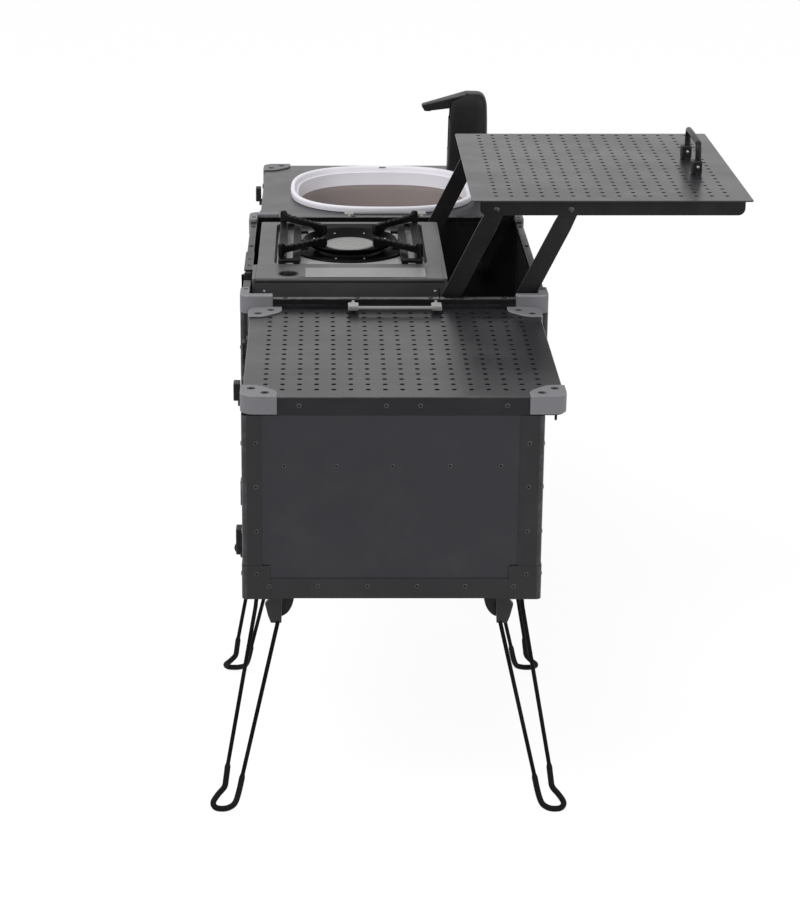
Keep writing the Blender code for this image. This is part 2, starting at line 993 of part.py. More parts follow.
def build_tub():
    """The tub: an open box on which the rim rails, caps, handles, tray and arm bosses sit."""
    shell = box(
        "tub_shell",
        (-tub_outer, tub_outer),
        (tub_start + rim_overhang, tub_end - rim_overhang),
        (tub_bottom, rim_bottom - fit_gap),
        "trim_black",
    )
    room = box(
        "tub_room",
        (-tub_outer + tub_wall, tub_outer - tub_wall),
        (tub_start + rim_overhang + tub_wall, tub_end - rim_overhang - tub_wall),
        (tub_floor_top, cut_reach),
    )
    knob_y = stove_near + knob_from_end
    notch_zs = (rim_top - notch_depth, rim_top + cut_reach)
    notch_ys = (knob_y - notch_width / 2, knob_y + notch_width / 2)
    notch_xs = (-rim_outer - cut_reach, -tub_outer + tub_wall + fit_gap)
    notch = box("tub_notch", notch_xs, notch_ys, notch_zs)
    cut(shell, [room, notch])
    bosses = []
    for end_tag, wall_y, arm_y, way in arm_rows():
        for tag, x in (("front", front_pivot_x), ("rear", rear_pivot_x)):
            name = f"{end_tag}_{tag}"
            face = arm_y - way * fit_gap
            beyond = arm_y + way * (arm_sheet + fit_gap)
            bosses.append(
                rod(
                    f"arm_boss_{name}",
                    (x, wall_y - way * weld, arm_pivot_z),
                    (x, face, arm_pivot_z),
                    arm_boss_radius,
                )
            )
            bosses.append(
                rod(
                    f"arm_pin_{name}",
                    (x, face - way * weld, arm_pivot_z),
                    (x, beyond + way * weld, arm_pivot_z),
                    arm_pin_radius,
                )
            )
            bosses.append(
                rod(
                    f"arm_pin_head_{name}",
                    (x, beyond, arm_pivot_z),
                    (x, beyond + way * pin_head_sheet, arm_pivot_z),
                    pin_head_radius,
                )
            )
    join(shell, bosses)

    rim = box(
        "tub_rim",
        (-rim_outer, rim_outer),
        (tub_start, tub_end),
        (rim_bottom, rim_top),
        "rim_grey",
    )
    opening = box(
        "rim_opening",
        (-rim_inner, rim_inner),
        (tub_start + rim_rail_width, tub_end - rim_rail_width),
        (rim_bottom - cut_reach, rim_top + cut_reach),
    )
    rim_notch = box(
        "rim_notch",
        (-rim_outer - cut_reach, -rim_inner + fit_gap),
        notch_ys,
        notch_zs,
    )
    cut(rim, [opening, rim_notch])

    outline = angle_outline()
    for x_tag, x_sign in (("front", -1), ("rear", 1)):
        for y_tag, y, into in (("near", tub_start, 1), ("far", tub_end, -1)):
            corner_cap(
                f"tub_cap_{x_tag}_{y_tag}",
                (x_sign * rim_outer, y),
                (-x_sign, into),
                rim_top,
                tub_cap_drop,
                outline,
                False,
            )
    bar_z = fit_gap + handle_bar / 2
    for tag, y, way in (("near", tub_start, -1), ("far", tub_end, 1)):
        pull_handle(
            f"tub_handle_{tag}",
            (0, y + way * fit_gap, bar_z),
            (-way, 0, 0),
            (0, way, 0),
            handle_length,
            handle_reach,
            handle_bar,
            "black_metal",
        )


def arm_rows():
    """For each end: tag, inner face of the tub wall, outer face of its arms, direction inward."""
    near_wall = tub_start + rim_overhang + tub_wall
    far_wall = tub_end - rim_overhang - tub_wall
    mirror = 2 * tub_middle
    return (
        ("near", near_wall, arm_near_y, 1),
        ("far", far_wall, mirror - arm_near_y, -1),
    )


def arm_outline():
    """A flat arm from its lower pivot at the origin, leaning to its rest angle."""
    half = arm_width / 2
    points = arc((0, 0), half, 180, 360, 10)
    neck = arm_length - arm_width
    points.append((half, neck))
    points += arc((0, arm_length), arm_top_radius, 0, 180, 10)
    points.append((-half, neck))
    c = math.cos(-arm_lean)
    s = math.sin(-arm_lean)
    return [(x * c - y * s, x * s + y * c) for x, y in points]


def build_arms():
    """Four parallel arms, each with a clearance bore at both pivots."""
    outline = arm_outline()
    radius = arm_pin_radius + pin_clearance
    for end_tag, _, arm_y, way in arm_rows():
        for tag, x in (("front", front_pivot_x), ("rear", rear_pivot_x)):
            middle = arm_y + way * arm_sheet / 2
            arm = slab(
                f"arm_{end_tag}_{tag}", outline, arm_sheet, FACING_Y, "black_metal"
            )
            arm.location = (x, middle, arm_pivot_z)
            bores = []
            for index, (px, pz) in enumerate(
                ((x, arm_pivot_z), (x + arm_run, shelf_pivot_z))
            ):
                bores.append(
                    rod(
                        f"arm_bore_{end_tag}_{tag}_{index}",
                        (px, middle - arm_sheet, pz),
                        (px, middle + arm_sheet, pz),
                        radius,
                    )
                )
            cut(arm, bores)


def build_shelf():
    """The raised shelf: plate, a turned-down flange on each end, the four arm pins and a handle."""
    plate = box(
        "shelf",
        (shelf_front, shelf_rear),
        (shelf_near, shelf_far),
        (shelf_top - shelf_sheet, shelf_top),
        "worktop_grey",
    )
    extras = []
    for end_tag, _, arm_y, way in arm_rows():
        outer = shelf_near if way > 0 else shelf_far
        middle = outer + way * flange_sheet / 2
        flange = slab(
            f"shelf_flange_{end_tag}",
            flange_outline(),
            flange_sheet,
            Matrix.Translation((shelf_front, middle, shelf_top)) @ FACING_Y,
        )
        extras.append(flange)
        for tag, x in (("front", front_pivot_x), ("rear", rear_pivot_x)):
            px = x + arm_run
            beyond = arm_y + way * (arm_sheet + fit_gap)
            extras.append(
                rod(
                    f"shelf_pin_{end_tag}_{tag}",
                    (px, middle, shelf_pivot_z),
                    (px, beyond + way * weld, shelf_pivot_z),
                    arm_pin_radius,
                )
            )
            extras.append(
                rod(
                    f"shelf_pin_head_{end_tag}_{tag}",
                    (px, beyond, shelf_pivot_z),
                    (px, beyond + way * pin_head_sheet, shelf_pivot_z),
                    pin_head_radius,
                )
            )
    join(plate, extras)
    pull_handle(
        "shelf_handle",
        (shelf_rear - shelf_handle_inset, tub_middle, shelf_top + fit_gap),
        (0, 1, 0),
        (0, 0, 1),
        handle_length,
        shelf_handle_height,
        shelf_handle_bar,
        "black_metal",
    )


def flange_outline():
    """The flange seen from the near end, hanging from the plate, with rounded lower corners."""
    left = flange_inset_front
    right = shelf_width - flange_inset_rear
    r = flange_end_radius
    low = -flange_height
    high = -shelf_sheet / 2
    points = [(left, high)]
    points += arc((left + r, low + r), r, 180, 270, 4)
    points += arc((right - r, low + r), r, 270, 360, 4)
    points.append((right, high))
    return points


def build_stove():
    """The cassette stove: body, canister cover, burner, pan support and knob."""
    xs = (stove_front, stove_rear)
    body = box(
        "stove_body",
        xs,
        (stove_near, stove_far),
        (stove_bottom, stove_top),
        "stove_grey",
    )
    bay = box(
        "canister_bay",
        (stove_front + bay_wall, stove_rear - bay_wall),
        (stove_near + bay_wall, stove_near + bay_length - bay_wall / 2),
        (stove_top - bay_depth, stove_top + cut_reach),
    )
    seat = box(
        "cover_seat_cut",
        (stove_front + bay_wall / 2, stove_rear - bay_wall / 2),
        (stove_near + fit_gap, stove_near + bay_length),
        (stove_top - cover_sheet - fit_gap, stove_top + cut_reach),
    )
    seat_edge = box(
        "cover_edge_cut",
        (stove_front + bay_wall / 2, stove_rear - bay_wall / 2),
        (stove_near - cut_reach, stove_near + cover_seat),
        (stove_top - cover_barrel_radius * 2 - fit_gap, stove_top + cut_reach),
    )
    well = box(
        "burner_well",
        (stove_front + well_margin_front, stove_rear - well_margin_rear),
        (stove_near + bay_length + well_margin_end, stove_far - well_margin_end),
        (stove_top - well_depth, stove_top + cut_reach),
    )
    feet = []
    for x in (stove_front + stove_foot_inset, stove_rear - stove_foot_inset):
        for y in (stove_near + stove_foot_inset, stove_far - stove_foot_inset):
            feet.append(
                rod(
                    "stove_foot",
                    (x, y, stove_bottom + weld),
                    (x, y, stove_bottom - stove_foot_height),
                    stove_foot_radius,
                )
            )
    cut(body, [bay, seat, seat_edge, well])
    join(body, feet)

    hinge_y = stove_near + cover_barrel_radius
    hinge_z = stove_top - cover_barrel_radius
    cover_xs = (
        stove_front + bay_wall / 2 + fit_gap,
        stove_rear - bay_wall / 2 - fit_gap,
    )
    cover = box(
        "canister_cover",
        cover_xs,
        (hinge_y, stove_near + bay_length - fit_gap),
        (stove_top - cover_sheet, stove_top),
        "stove_grey",
    )
    barrel = rod(
        "cover_barrel",
        (cover_xs[0], hinge_y, hinge_z),
        (cover_xs[1], hinge_y, hinge_z),
        cover_barrel_radius,
    )
    join(cover, [barrel])

    centre_x = (
        stove_front + well_margin_front + stove_rear - well_margin_rear
    ) / 2
    centre_y = (stove_near + bay_length + stove_far) / 2
    floor_z = stove_top - well_depth
    burner_top = floor_z + fit_gap + burner_height
    burner = rod(
        "burner",
        (centre_x, centre_y, floor_z + fit_gap),
        (centre_x, centre_y, burner_top),
        burner_radius,
        "enamel_black",
        round_steps,
    )
    cap = rod(
        "burner_cap",
        (centre_x, centre_y, burner_top - weld),
        (centre_x, centre_y, burner_top + burner_cap_height),
        burner_cap_radius,
        None,
        round_steps,
    )
    join(burner, [cap])
    build_grate(centre_x, centre_y)
    build_knob()
    build_tray()


def build_grate(x, y):
    """Pan support: a ring carried by four bars whose outer ends stand on the floor of the well."""
    low = stove_top + fit_gap
    ring = rod(
        "pan_support",
        (x, y, low),
        (x, y, low + grate_ring_height),
        grate_ring_radius,
        "enamel_black",
        round_steps * 2,
    )
    inside = rod(
        "ring_inside",
        (x, y, low - cut_reach),
        (x, y, low + cut_reach),
        grate_ring_radius - grate_ring_bar,
        None,
        round_steps * 2,
    )
    cut(ring, [inside])
    bars = []
    for turn in range(4):
        angle = math.pi / 4 + turn * math.pi / 2
        bars.append(
            slab(
                f"grate_bar_{turn}",
                grate_outline(),
                grate_bar_sheet,
                Matrix.Translation((x, y, low))
                @ Matrix.Rotation(angle, 4, "Z")
                @ FACING_Y,
            )
        )
    join(ring, bars)


def grate_outline():
    """One bar: low at the middle, high at its outer end, with a foot that reaches the well floor."""
    return [
        (grate_bar_inner, 0),
        (grate_bar_outer - grate_foot, 0),
        (grate_bar_outer - grate_foot, -well_depth),
        (grate_bar_outer, -well_depth),
        (grate_bar_outer, grate_height),
        (grate_bar_outer - grate_tip, grate_height),
        (grate_ring_radius, grate_height * grate_ring_share),
        (grate_bar_inner, grate_height * grate_inner_share),
    ]


def build_knob():
    """The gas knob: it turns about X and stands out through the notch in the tub's side."""
    y = stove_near + knob_from_end
    z = rim_top - knob_below_rim
    face = -rim_inner
    knob = rod(
        "stove_knob",
        (face, y, z),
        (face - knob_length, y, z),
        knob_radius,
        "enamel_black",
        round_steps,
    )
    shaft = rod(
        "knob_shaft",
        (face - weld, y, z),
        (stove_front - fit_gap, y, z),
        knob_shaft_radius,
    )
    grip = box(
        "knob_grip_bar",
        (face - knob_length + weld, face - knob_length - knob_grip_rise),
        (y - knob_grip / 2, y + knob_grip / 2),
        (z - knob_radius + knob_grip / 3, z + knob_radius - knob_grip / 3),
    )
    join(knob, [shaft, grip])


def build_tray():
    """The bench that carries the stove inside the tub and walls off the deep bay behind it."""
    bench = box(
        "stove_tray",
        (-tub_outer + tub_wall + fit_gap, stove_rear + tray_overlap),
        (stove_near - tray_margin, stove_far + tray_margin),
        (tub_floor_top + fit_gap, tray_top),
        "trim_black",
    )
    under = box(
        "tray_under",
        (
            -tub_outer + tub_wall + fit_gap + tray_sheet,
            stove_rear + tray_overlap - tray_sheet,
        ),
        (stove_near - tray_margin - cut_reach, stove_far + tray_margin + cut_reach),
        (tub_bottom - cut_reach, tray_top - tray_sheet),
    )
    cut(bench, [under])


def basin_ring(inset, z, steps=basin_steps):
    """One ring of the basin, moved in from its outer edge."""
    return superellipse(
        basin_half_x - inset,
        basin_half_y - inset,
        basin_squareness,
        steps,
        (0, basin_middle_y),
        z,
    )


def build_basin():
    """The wash basin, hung by its rim in the far worktop's opening."""
    neck = basin_rim_width + basin_wall
    rings = [
        basin_ring(neck + basin_draft + basin_floor_round, -basin_depth),
        basin_ring(neck + basin_draft, -basin_depth + basin_floor_round),
        basin_ring(basin_rim_width, -worktop_sheet),
        basin_ring(basin_rim_width, fit_gap),
        basin_ring(0, fit_gap),
        basin_ring(0, basin_rim_height * basin_lip_share),
        basin_ring(basin_rim_round, basin_rim_height),
        basin_ring(basin_rim_flat, basin_rim_height),
        basin_ring(neck, basin_rim_height * basin_throat_share),
        basin_ring(
            neck + basin_draft + basin_wall, -basin_depth + basin_floor_round
        ),
        basin_ring(
            neck + basin_draft + basin_wall + basin_floor_round,
            -basin_depth + basin_wall,
        ),
    ]
    loft("basin", rings, "basin_white")


def cut_basin_opening(worktop):
    """The opening in the far worktop that the basin hangs in."""
    inset = basin_rim_width - fit_gap
    opening = loft(
        "basin_opening",
        [basin_ring(inset, -cut_reach), basin_ring(inset, cut_reach)],
        "basin_white",
    )
    parts.objects.unlink(opening)
    as_cutter(opening)
    cut(worktop, [opening])


def build_faucet():
    """The pump faucet: a column with a slot in its front, and a spout that folds down into it."""
    x = half_width - faucet_edge_inset_x - faucet_width / 2
    y = far_end - faucet_edge_inset_y
    half_x = faucet_width / 2
    half_y = faucet_depth / 2
    top = faucet_height
    rows = (
        (faucet_flange, fit_gap),
        (faucet_flange, faucet_flange_height),
        (0, faucet_flange_height + faucet_flange),
        (0, top - faucet_shoulder),
        (-shoulder_bend_in, top - shoulder_bend_down),
        (-shoulder_top_in, top),
    )
    rings = [
        superellipse(
            half_x + grow,
            half_y + grow,
            faucet_squareness,
            faucet_steps,
            (x, y),
            z,
        )
        for grow, z in rows
    ]
    column = loft("faucet_column", rings, "faucet_black")
    pivot_x = x - half_x + spout_pivot_inset
    pivot_z = top - spout_pivot_below_top
    half_slot = spout_width / 2 + spout_slot_gap
    slot = box(
        "spout_slot",
        (x - half_x - cut_reach, pivot_x + spout_slot_depth),
        (y - half_slot, y + half_slot),
        (top * slot_bottom_share, top + cut_reach),
    )
    pin_reach = half_slot + spout_pin_reach
    bore = rod(
        "spout_pin_bore",
        (pivot_x, y - pin_reach - fit_gap, pivot_z),
        (pivot_x, y + pin_reach + fit_gap, pivot_z),
        spout_pin_radius + pin_clearance,
    )
    cut(column, [slot, bore])

    spout = rod(
        "faucet_spout",
        (0, -spout_width / 2, 0),
        (0, spout_width / 2, 0),
        spout_root_radius,
        "faucet_black",
        round_steps,
    )
    blade = slab(
        "spout_blade",
        spout_outline(),
        spout_width,
        Matrix.Rotation(-spout_drop_angle, 4, "Y") @ FACING_Y,
    )
    outlet_x = -math.cos(spout_drop_angle) * (spout_length - outlet_radius * 2)
    outlet_z = -math.sin(spout_drop_angle) * (spout_length - outlet_radius * 2)
    outlet = rod(
        "spout_outlet",
        (outlet_x, 0, outlet_z),
        (outlet_x, 0, outlet_z - outlet_length - spout_thickness / 2),
        outlet_radius,
    )
    pin = rod(
        "spout_pin",
        (0, -pin_reach, 0),
        (0, pin_reach, 0),
        spout_pin_radius,
    )
    for piece in (spout, blade, outlet, pin):
        piece.location = (pivot_x, y, pivot_z)
    join(spout, [blade, outlet, pin])


def spout_outline():
    """The spout from its pivot to its tip, a little thinner at the tip."""
    tip = spout_thickness / 2
    return [
        (0, -spout_root_half),
        (0, spout_root_half),
        (-spout_length + tip, tip),
        (-spout_length, 0),
        (-spout_length + tip / 2, -tip),
    ]


def centre_on_ground():
    """Moves everything so that the origin is the centre of the bounding box, on the ground."""
    bpy.context.view_layer.update()
    graph = bpy.context.evaluated_depsgraph_get()
    low = Vector((math.inf,) * 3)
    high = Vector((-math.inf,) * 3)
    for obj in parts.objects:
        shape = obj.evaluated_get(graph)
        mesh = shape.to_mesh()
        for vertex in mesh.vertices:
            point = shape.matrix_world @ vertex.co
            low = Vector(map(min, low, point))
            high = Vector(map(max, high, point))
        shape.to_mesh_clear()
    shift = Vector((-(low.x + high.x) / 2, -(low.y + high.y) / 2, -low.z))
    for obj in list(parts.objects) + list(cutters.objects):
        obj.location = obj.location + shift
    bpy.context.view_layer.update()


def main():
    """Builds every piece in the drawing frame, then sets it on the ground."""
    near = Cabinet("near", near_length, 0, 1)
    far = Cabinet("far", far_length, far_end, -1)
    near.build()
    far.build()
    cut_basin_opening(parts.objects["far_worktop"])
    build_tub()
    build_arms()
    build_shelf()
    build_stove()
    build_basin()
    build_faucet()
    centre_on_ground()


main()
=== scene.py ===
"""Looks of the folding camp kitchen: two cabinets on wire legs, a tub with a stove, and a raised shelf.

Every mesh is drawn in the drawing frame, in metres. Its origin is on the middle of the near end face, at
worktop level. X runs from the cook's side to the rear, Y from the near end to the far end, Z up. The workshop
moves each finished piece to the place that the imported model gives.
"""

import sys

import logging
import math
from collections.abc import Callable, Iterable, Sequence
from dataclasses import dataclass
from enum import Enum

import bmesh
import bpy
from bmesh.types import BMEdge, BMFace, BMVert
from mathutils import Matrix, Quaternion, Vector


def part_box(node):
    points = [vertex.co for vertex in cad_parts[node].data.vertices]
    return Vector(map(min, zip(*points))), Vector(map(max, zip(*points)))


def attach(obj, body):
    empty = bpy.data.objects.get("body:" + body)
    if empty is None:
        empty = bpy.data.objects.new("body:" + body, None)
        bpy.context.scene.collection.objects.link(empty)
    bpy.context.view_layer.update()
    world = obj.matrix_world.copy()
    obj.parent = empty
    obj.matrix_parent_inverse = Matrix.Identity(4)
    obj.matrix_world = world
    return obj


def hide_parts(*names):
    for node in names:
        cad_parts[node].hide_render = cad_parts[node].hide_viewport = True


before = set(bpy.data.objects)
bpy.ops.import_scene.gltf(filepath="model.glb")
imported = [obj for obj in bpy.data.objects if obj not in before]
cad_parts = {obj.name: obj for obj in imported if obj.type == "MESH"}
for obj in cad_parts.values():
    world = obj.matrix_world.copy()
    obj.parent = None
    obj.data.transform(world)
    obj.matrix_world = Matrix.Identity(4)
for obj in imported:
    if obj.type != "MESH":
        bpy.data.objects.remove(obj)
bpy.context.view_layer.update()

log = logging.getLogger("camp_kitchen")

Point = Sequence[float]
Outline = list[tuple[float, float]]

# Planes that outlines are drawn in: an outline's X and Y become X and Z, or Y and Z
FACING_Y = Matrix(((1, 0, 0, 0), (0, 0, -1, 0), (0, 1, 0, 0), (0, 0, 0, 1)))
FACING_X = Matrix(((0, 0, 1, 0), (1, 0, 0, 0), (0, 1, 0, 0), (0, 0, 0, 1)))
# Points closer than this are one point
TINY = 1e-6
# How far a cutter reaches past what it cuts
PAST = 0.05
# How far an edge of folded sheet is broken
BROKEN = 0.0004
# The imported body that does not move
BASE = "kitchen_base"
# The face attribute that marks worn edges
RUBBED = "rub"


class Joinery(Enum):
    """What one solid does to another."""

    CUT = "DIFFERENCE"
    WELD = "UNION"


@dataclass(frozen=True)
class Layout:
    """The sizes that more than one assembly needs."""

    gap: float = 0.0003
    half_width: float = 0.205
    body_front: float = -0.205
    body_rear: float = 0.179
    cabinet_height: float = 0.273
    near_length: float = 0.406
    far_length: float = 0.424
    far_end: float = 1.342
    tub_start: float = 0.413
    tub_end: float = 0.911
    tub_middle: float = 0.662
    rim_outer: float = 0.218
    rim_inner: float = 0.2075
    rim_top: float = 0.013
    cap_seat: float = 0.016
    rim_bottom: float = 0.0033
    shelf_front: float = 0.1095
    shelf_top: float = 0.15223
    stove_front: float = -0.206
    stove_rear: float = 0.080
    stove_near: float = 0.496
    stove_far: float = 0.840
    stove_top: float = 0.020
    burner_x: float = -0.0605
    burner_y: float = 0.713
    basin_y: float = 1.131


LAYOUT = Layout()


# Mesh tools


def span(middle: float, half: float) -> Point:
    """Two ends at the same distance from a middle."""
    return middle - half, middle + half


def arc(centre: Point, radius: float, start: float, end: float, steps: int) -> Outline:
    """Points on an arc, both ends included.

    Args:
        centre: Middle of the arc.
        radius: Its radius.
        start: First angle, in degrees.
        end: Last angle, in degrees.
        steps: Number of straight runs.

    Returns:
        The points in order.
    """
    points = []
    for i in range(steps + 1):
        angle = math.radians(start + (end - start) * i / steps)
        points.append((centre[0] + radius * math.cos(angle), centre[1] + radius * math.sin(angle)))
    return points


def rounded_outline(corners: Sequence[Point], radii: Sequence[float], steps: int = 5) -> Outline:
    """A polygon whose corners are rounded, each by its own radius.

    Args:
        corners: The polygon's corners, in order.
        radii: One radius for each corner, 0 for a sharp one.
        steps: Straight runs in each rounding.

    Returns:
        The rounded polygon.
    """
    points: Outline = []
    count = len(corners)
    for i, radius in enumerate(radii):
        here = Vector(corners[i][:2])
        if radius <= 0:
            points.append((here.x, here.y))
            continue
        before = (Vector(corners[i - 1][:2]) - here).normalized()
        after = (Vector(corners[(i + 1) % count][:2]) - here).normalized()
        half = before.angle(after) / 2
        reach = radius / math.tan(half)
        middle = here + (before + after).normalized() * (radius / math.sin(half))
        first = here + before * reach - middle
        last = here + after * reach - middle
        turn = first.angle_signed(last)
        for k in range(steps + 1):
            spoke = Matrix.Rotation(-turn * k / steps, 2) @ first
            points.append((middle.x + spoke.x, middle.y + spoke.y))
    return points


def superellipse(
    half_x: float, half_y: float, power: float, steps: int, centre: Point, z: float
) -> list[Vector]:
    """One level ring of a rounded rectangle.

    Args:
        half_x: Half its size along X.
        half_y: Half its size along Y.
        power: 2 for an ellipse, more for squarer corners.
        steps: Points in the ring.
        centre: Its middle, seen from above.
        z: Its height.

    Returns:
        The points in order.
    """
    ring = []
    for i in range(steps):
        c = math.cos(2 * math.pi * i / steps)
        s = math.sin(2 * math.pi * i / steps)
        x = math.copysign(abs(c) ** (2 / power), c) * half_x
        y = math.copysign(abs(s) ** (2 / power), s) * half_y
        ring.append(Vector((centre[0] + x, centre[1] + y, z)))
    return ring


def smooth_path(points: Sequence[Vector], steps: int) -> list[Vector]:
    """A smooth line through the given points.

    Args:
        points: Where the line passes.
        steps: Straight runs between two of them.

    Returns:
        The line's points.
    """
    padded = [points[0], *points, points[-1]]
    path = []
    for a, b, c, d in zip(padded, padded[1:], padded[2:], padded[3:]):
        for i in range(steps):
            t = i / steps
            near = b * 2 + (c - a) * t + (a * 2 - b * 5 + c * 4 - d) * t * t
            path.append((near + (b * 3 - a - c * 3 + d) * t * t * t) / 2)
    path.append(points[-1])
    return path


class Form:
    """A mesh under construction, with an attribute that marks the faces along its worn edges."""

    def __init__(self) -> None:
        """Starts empty."""
        self.bm = bmesh.new()
        self.bm.faces.layers.float.new(RUBBED)

    def read(self, mesh: bpy.types.Mesh) -> None:
        """Starts again from a mesh, and adds the mark of worn edges where the mesh has none.

        Args:
            mesh: The mesh to read.
        """
        self.bm.free()
        self.bm = bmesh.new()
        self.bm.from_mesh(mesh)
        if self.bm.faces.layers.float.get(RUBBED) is None:
            self.bm.faces.layers.float.new(RUBBED)

    @classmethod
    def block(cls, a: Point, b: Point, round_by: float = 0.0, steps: int = 3) -> "Form":
        """A box between two opposite corners.

        Args:
            a: One corner.
            b: The opposite corner.
            round_by: Radius of its edges.
            steps: Straight runs in each rounding.

        Returns:
            The box.
        """
        form = cls()
        low = Vector(map(min, a, b))
        high = Vector(map(max, a, b))
        place = Matrix.Translation((low + high) / 2) @ Matrix.Diagonal((*(high - low), 1))
        bmesh.ops.create_cube(form.bm, size=1.0, matrix=place)
        if round_by > 0:
            form.round_edges(form.bm.edges, round_by, steps)
        return form

    @classmethod
    def rod(
        cls, start: Point, end: Point, radius: float, end_radius: float | None = None, steps: int = 24
    ) -> "Form":
        """A closed cylinder or cone between two points.

        Args:
            start: Middle of one end.
            end: Middle of the other end.
            radius: Radius at the start.
            end_radius: Radius at the end, the same if left out.
            steps: Sides.

        Returns:
            The rod.
        """
        form = cls()
        first, last = Vector(start), Vector(end)
        run = last - first
        turn = Vector((0, 0, 1)).rotation_difference(run).to_matrix().to_4x4()
        bmesh.ops.create_cone(
            form.bm,
            cap_ends=True,
            segments=steps,
            radius1=radius,
            radius2=radius if end_radius is None else end_radius,
            depth=run.length,
            matrix=Matrix.Translation((first + last) / 2) @ turn,
        )
        return form

    @classmethod
    def lathe(cls, profile: Outline, place: Matrix, steps: int = 32) -> "Form":
        """A turned solid: a profile of radius and height, spun about its own Z.

        Args:
            profile: Pairs of radius and height. It begins and ends on the axis, or closes on itself.
            place: Where the solid goes.
            steps: Sides.

        Returns:
            The turned solid.
        """
        form = cls()
        verts = [form.bm.verts.new((radius, 0, height)) for radius, height in profile]
        edges = [form.bm.edges.new(pair) for pair in zip(verts, verts[1:])]
        if profile[0][0] > TINY:
            edges.append(form.bm.edges.new((verts[-1], verts[0])))
        bmesh.ops.spin(
            form.bm,
            geom=[*verts, *edges],
            cent=(0, 0, 0),
            axis=(0, 0, 1),
            dvec=(0, 0, 0),
            angle=2 * math.pi,
            steps=steps,
            use_merge=True,
        )
        bmesh.ops.remove_doubles(form.bm, verts=form.bm.verts, dist=TINY)
        bmesh.ops.recalc_face_normals(form.bm, faces=form.bm.faces)
        return form.placed(place)

    @classmethod
    def plate(cls, outline: Sequence[Point], thickness: float, place: Matrix = Matrix()) -> "Form":
        """A flat sheet cut to an outline, its thickness rising from the outline's plane.

        Args:
            outline: The sheet's edge, in its own X and Y.
            thickness: How far it rises along its own Z.
            place: Where the sheet goes.

        Returns:
            The sheet.
        """
        form = cls()
        face = form.bm.faces.new([form.bm.verts.new((p[0], p[1], 0)) for p in outline])
        grown = bmesh.ops.extrude_face_region(form.bm, geom=[face])["geom"]
        raised = [item for item in grown if isinstance(item, BMVert)]
        bmesh.ops.translate(form.bm, verts=raised, vec=(0, 0, thickness))
        bmesh.ops.recalc_face_normals(form.bm, faces=form.bm.faces)
        return form.placed(place)

    @classmethod
    def tube(cls, path: Sequence[Vector], radii: Sequence[float], steps: int = 12) -> "Form":
        """A round bar along a path, closed at both ends.

        Args:
            path: The points that its middle follows.
            radii: Its radius at each point.
            steps: Sides.

        Returns:
            The bar.
        """
        form = cls()
        turn = Quaternion()
        frames = []
        heading = Vector((0, 0, 1))
        for i, (here, radius) in enumerate(zip(path, radii)):
            ahead = path[min(i + 1, len(path) - 1)] - path[max(i - 1, 0)]
            turn = heading.rotation_difference(ahead) @ turn
            heading = ahead
            size = Matrix.Diagonal((radius, radius, radius, 1))
            frames.append(Matrix.Translation(here) @ turn.to_matrix().to_4x4() @ size)
        made = bmesh.ops.create_circle(form.bm, cap_ends=False, radius=1, segments=steps, matrix=frames[0])
        ring = {edge for vert in made["verts"] for edge in vert.link_edges}
        bmesh.ops.edgeloop_fill(form.bm, edges=list(ring))
        for before, after in zip(frames, frames[1:]):
            verts, ring = form.extrude_ring(ring)
            bmesh.ops.transform(form.bm, matrix=after @ before.inverted(), verts=verts)
        bmesh.ops.edgeloop_fill(form.bm, edges=list(ring))
        bmesh.ops.recalc_face_normals(form.bm, faces=form.bm.faces)
        return form

    @classmethod
    def stack(cls, rings: Sequence[Sequence[Vector]]) -> "Form":
        """A skin through rings of equal length, with a face at both ends.

        Args:
            rings: The rings, from one end to the other.

        Returns:
            The skin.
        """
        form = cls()
        made = bmesh.ops.create_circle(form.bm, cap_ends=False, radius=1, segments=len(rings[0]))
        verts = made["verts"]
        ring = {edge for vert in verts for edge in vert.link_edges}
        first = ring
        for vert, where in zip(verts, rings[0]):
            vert.co = where
        for points in rings[1:]:
            order = {vert: i for i, vert in enumerate(verts)}
            verts, ring = form.extrude_ring(ring)
            verts = form.follow(verts, order)
            for vert, where in zip(verts, points):
                vert.co = where
        bmesh.ops.edgeloop_fill(form.bm, edges=list(first))
        bmesh.ops.edgeloop_fill(form.bm, edges=list(ring))
        bmesh.ops.recalc_face_normals(form.bm, faces=form.bm.faces)
        return form

    @staticmethod
    def follow(verts: Sequence[BMVert], order: dict[BMVert, int]) -> list[BMVert]:
        """Sorts a new ring as the ring it was pulled from.

        Args:
            verts: The new ring.
            order: The old ring's places.

        Returns:
            The new ring, in the old order.
        """
        placed: list[BMVert | None] = [None] * len(order)
        for vert in verts:
            for edge in vert.link_edges:
                other = edge.other_vert(vert)
                if other in order:
                    placed[order[other]] = vert
        return [vert for vert in placed if vert is not None]

    def extrude_ring(self, ring: Iterable[BMEdge]) -> tuple[list[BMVert], set[BMEdge]]:
        """Pulls a new ring out of a ring of edges.

        Args:
            ring: The edges to extrude.

        Returns:
            The new ring's points and its edges.
        """
        grown = bmesh.ops.extrude_edge_only(self.bm, edges=list(ring))["geom"]
        verts = [item for item in grown if isinstance(item, BMVert)]
        chosen = set(verts)
        edges = {e for v in verts for e in v.link_edges if e.verts[0] in chosen and e.verts[1] in chosen}
        return verts, edges

